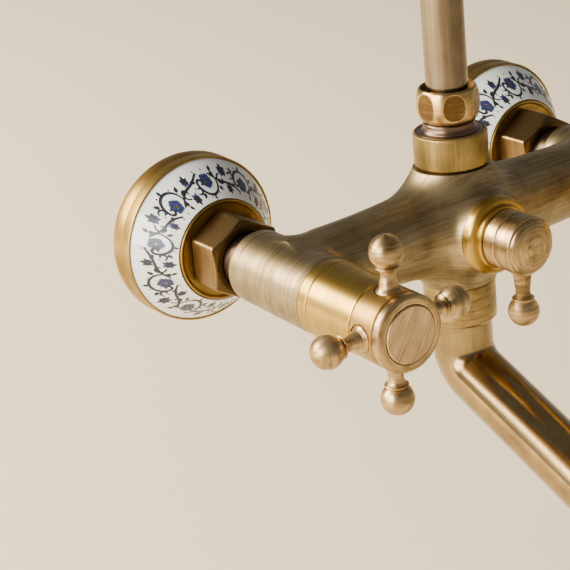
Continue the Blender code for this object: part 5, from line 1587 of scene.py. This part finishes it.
class ShowerStudio(bpy.types.PropertyGroup):
    """Floor, lights and camera."""
    floor: hue("Floor", "#f3e6c8", "Pale matt floor")
    key_power: FloatProperty(name="Key power", description="Power of the softbox on the left",
                             unit='POWER', default=66.0, min=0.0)
    floor_power: FloatProperty(name="Floor power", description="Power of the softbox behind",
                               unit='POWER', default=155.0, min=0.0)
    lens: FloatProperty(name="Lens", description="Focal length", unit='CAMERA',
                        default=100.95, min=1.0)


# ---- Operators
class SHOWER_OT_finishes(bpy.types.Operator):
    """Mixes every finish"""
    bl_idname = "shower.finishes"
    bl_label = "Finishes"

    def execute(self, context):
        make_finishes(context.scene.shower_finishes)
        return {'FINISHED'}


class SHOWER_OT_wall_unions(bpy.types.Operator):
    """Makes the wall flanges, hexagon nuts, inlet tails and offset unions"""
    bl_idname = "shower.wall_unions"
    bl_label = "Wall unions"

    def execute(self, context):
        for side in SIDES:
            wall_union(side, context.scene.shower_sizes.nut_flats / MM)
        return {'FINISHED'}


class SHOWER_OT_rosettes(bpy.types.Operator):
    """Makes the two glazed rosettes and their printed borders"""
    bl_idname = "shower.rosettes"
    bl_label = "Glazed rosettes"

    def execute(self, context):
        for side in SIDES:
            place = inlet_place(side)
            node = "ceramic_rosette_" + side
            glaze = rosette(node, place)
            fit(glaze, "column", "glazed_ceramic", "white_porcelain_glaze", node)
            scrollwork(side, node, "column", place, context.scene.shower_sizes.border_sectors)
        return {'FINISHED'}


class SHOWER_OT_body(bpy.types.Operator):
    """Casts the cross body and machines its flat faces"""
    bl_idname = "shower.body"
    bl_label = "Mixer body"

    def execute(self, context):
        body = cast_body("mixer_body_shown", context.scene.shower_sizes.body_cell / MM)
        fit(body, "column", "antique_brass", "brushed_cast_brass", "mixer_body")
        return {'FINISHED'}


class SHOWER_OT_handles(bpy.types.Operator):
    """Makes the bonnets and the two cross handles"""
    bl_idname = "shower.handles"
    bl_label = "Cross handles"

    def execute(self, context):
        sizes = context.scene.shower_sizes
        for side in SIDES:
            bonnet(side, inlet_place(side))
            cross_handle(side, sizes.ball_out / MM, sizes.ball_r / MM)
        return {'FINISHED'}


class SHOWER_OT_diverter(bpy.types.Operator):
    """Makes the diverter's ring, knob and lever"""
    bl_idname = "shower.diverter"
    bl_label = "Diverter"

    def execute(self, context):
        sizes = context.scene.shower_sizes
        diverter(sizes.ball_out / MM, sizes.ball_r / MM)
        return {'FINISHED'}


class SHOWER_OT_riser(bpy.types.Operator):
    """Makes the collar, nipple, barrel nuts, riser pipe and gooseneck"""
    bl_idname = "shower.riser"
    bl_label = "Riser"

    def execute(self, context):
        riser(context.scene.shower_sizes.barrel_flat / MM)
        return {'FINISHED'}


class SHOWER_OT_bracket(bpy.types.Operator):
    """Makes the wall bracket that holds the riser"""
    bl_idname = "shower.bracket"
    bl_label = "Wall bracket"

    def execute(self, context):
        bracket(context.scene.shower_sizes.border_sectors)
        return {'FINISHED'}


class SHOWER_OT_rain_head(bpy.types.Operator):
    """Makes the rain head, its ball joint and its nozzles"""
    bl_idname = "shower.rain_head"
    bl_label = "Rain head"

    def execute(self, context):
        sizes = context.scene.shower_sizes
        rain_head(sizes.nozzle_rings, sizes.nozzle_spacing / MM, sizes.nozzle_r / MM)
        return {'FINISHED'}


class SHOWER_OT_spout(bpy.types.Operator):
    """Makes the spout, its collar and its aerator"""
    bl_idname = "shower.spout"
    bl_label = "Spout"

    def execute(self, context):
        spout(context.scene.shower_sizes)
        return {'FINISHED'}


class SHOWER_OT_inside(bpy.types.Operator):
    """Gives the pieces inside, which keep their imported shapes, their finishes"""
    bl_idname = "shower.inside"
    bl_label = "Inside pieces"

    def execute(self, context):
        dress_inside()
        return {'FINISHED'}


class SHOWER_OT_studio(bpy.types.Operator):
    """Sets up the floor, the lights and the camera"""
    bl_idname = "shower.studio"
    bl_label = "Studio"

    def execute(self, context):
        stage(context.scene.shower_studio)
        return {'FINISHED'}


OPERATORS = (SHOWER_OT_finishes, SHOWER_OT_wall_unions, SHOWER_OT_rosettes, SHOWER_OT_body,
             SHOWER_OT_handles, SHOWER_OT_diverter, SHOWER_OT_riser, SHOWER_OT_bracket,
             SHOWER_OT_rain_head, SHOWER_OT_spout, SHOWER_OT_inside, SHOWER_OT_studio)
GROUPS = (("shower_finishes", ShowerFinishes), ("shower_sizes", ShowerSizes),
          ("shower_studio", ShowerStudio))


class SHOWER_PT_column(bpy.types.Panel):
    """The column's settings and the operators that make its pieces"""
    bl_idname = "SHOWER_PT_column"
    bl_label = "Rainfall shower column"
    bl_space_type = 'VIEW_3D'
    bl_region_type = 'UI'
    bl_category = "Shower"

    def draw(self, context):
        for name, group in GROUPS:
            box = self.layout.box()
            for setting in group.__annotations__:
                box.prop(getattr(context.scene, name), setting)
        for operator in OPERATORS:
            self.layout.operator(operator.bl_idname)


def register():
    """Registers the settings, the operators and the panel."""
    for name, group in GROUPS:
        bpy.utils.register_class(group)
        setattr(bpy.types.Scene, name, PointerProperty(type=group))
    for operator in OPERATORS:
        bpy.utils.register_class(operator)
    bpy.utils.register_class(SHOWER_PT_column)


def unregister():
    """Undoes register."""
    bpy.utils.unregister_class(SHOWER_PT_column)
    for operator in reversed(OPERATORS):
        bpy.utils.unregister_class(operator)
    for name, group in reversed(GROUPS):
        delattr(bpy.types.Scene, name)
        bpy.utils.unregister_class(group)


def main():
    """Makes the whole column."""
    register()
    bpy.ops.shower.finishes()
    bpy.ops.shower.wall_unions()
    bpy.ops.shower.rosettes()
    bpy.ops.shower.body()
    bpy.ops.shower.handles()
    bpy.ops.shower.diverter()
    bpy.ops.shower.riser()
    bpy.ops.shower.bracket()
    bpy.ops.shower.rain_head()
    bpy.ops.shower.spout()
    bpy.ops.shower.inside()
    bpy.ops.shower.studio()


if __name__ == "__main__":
    main()
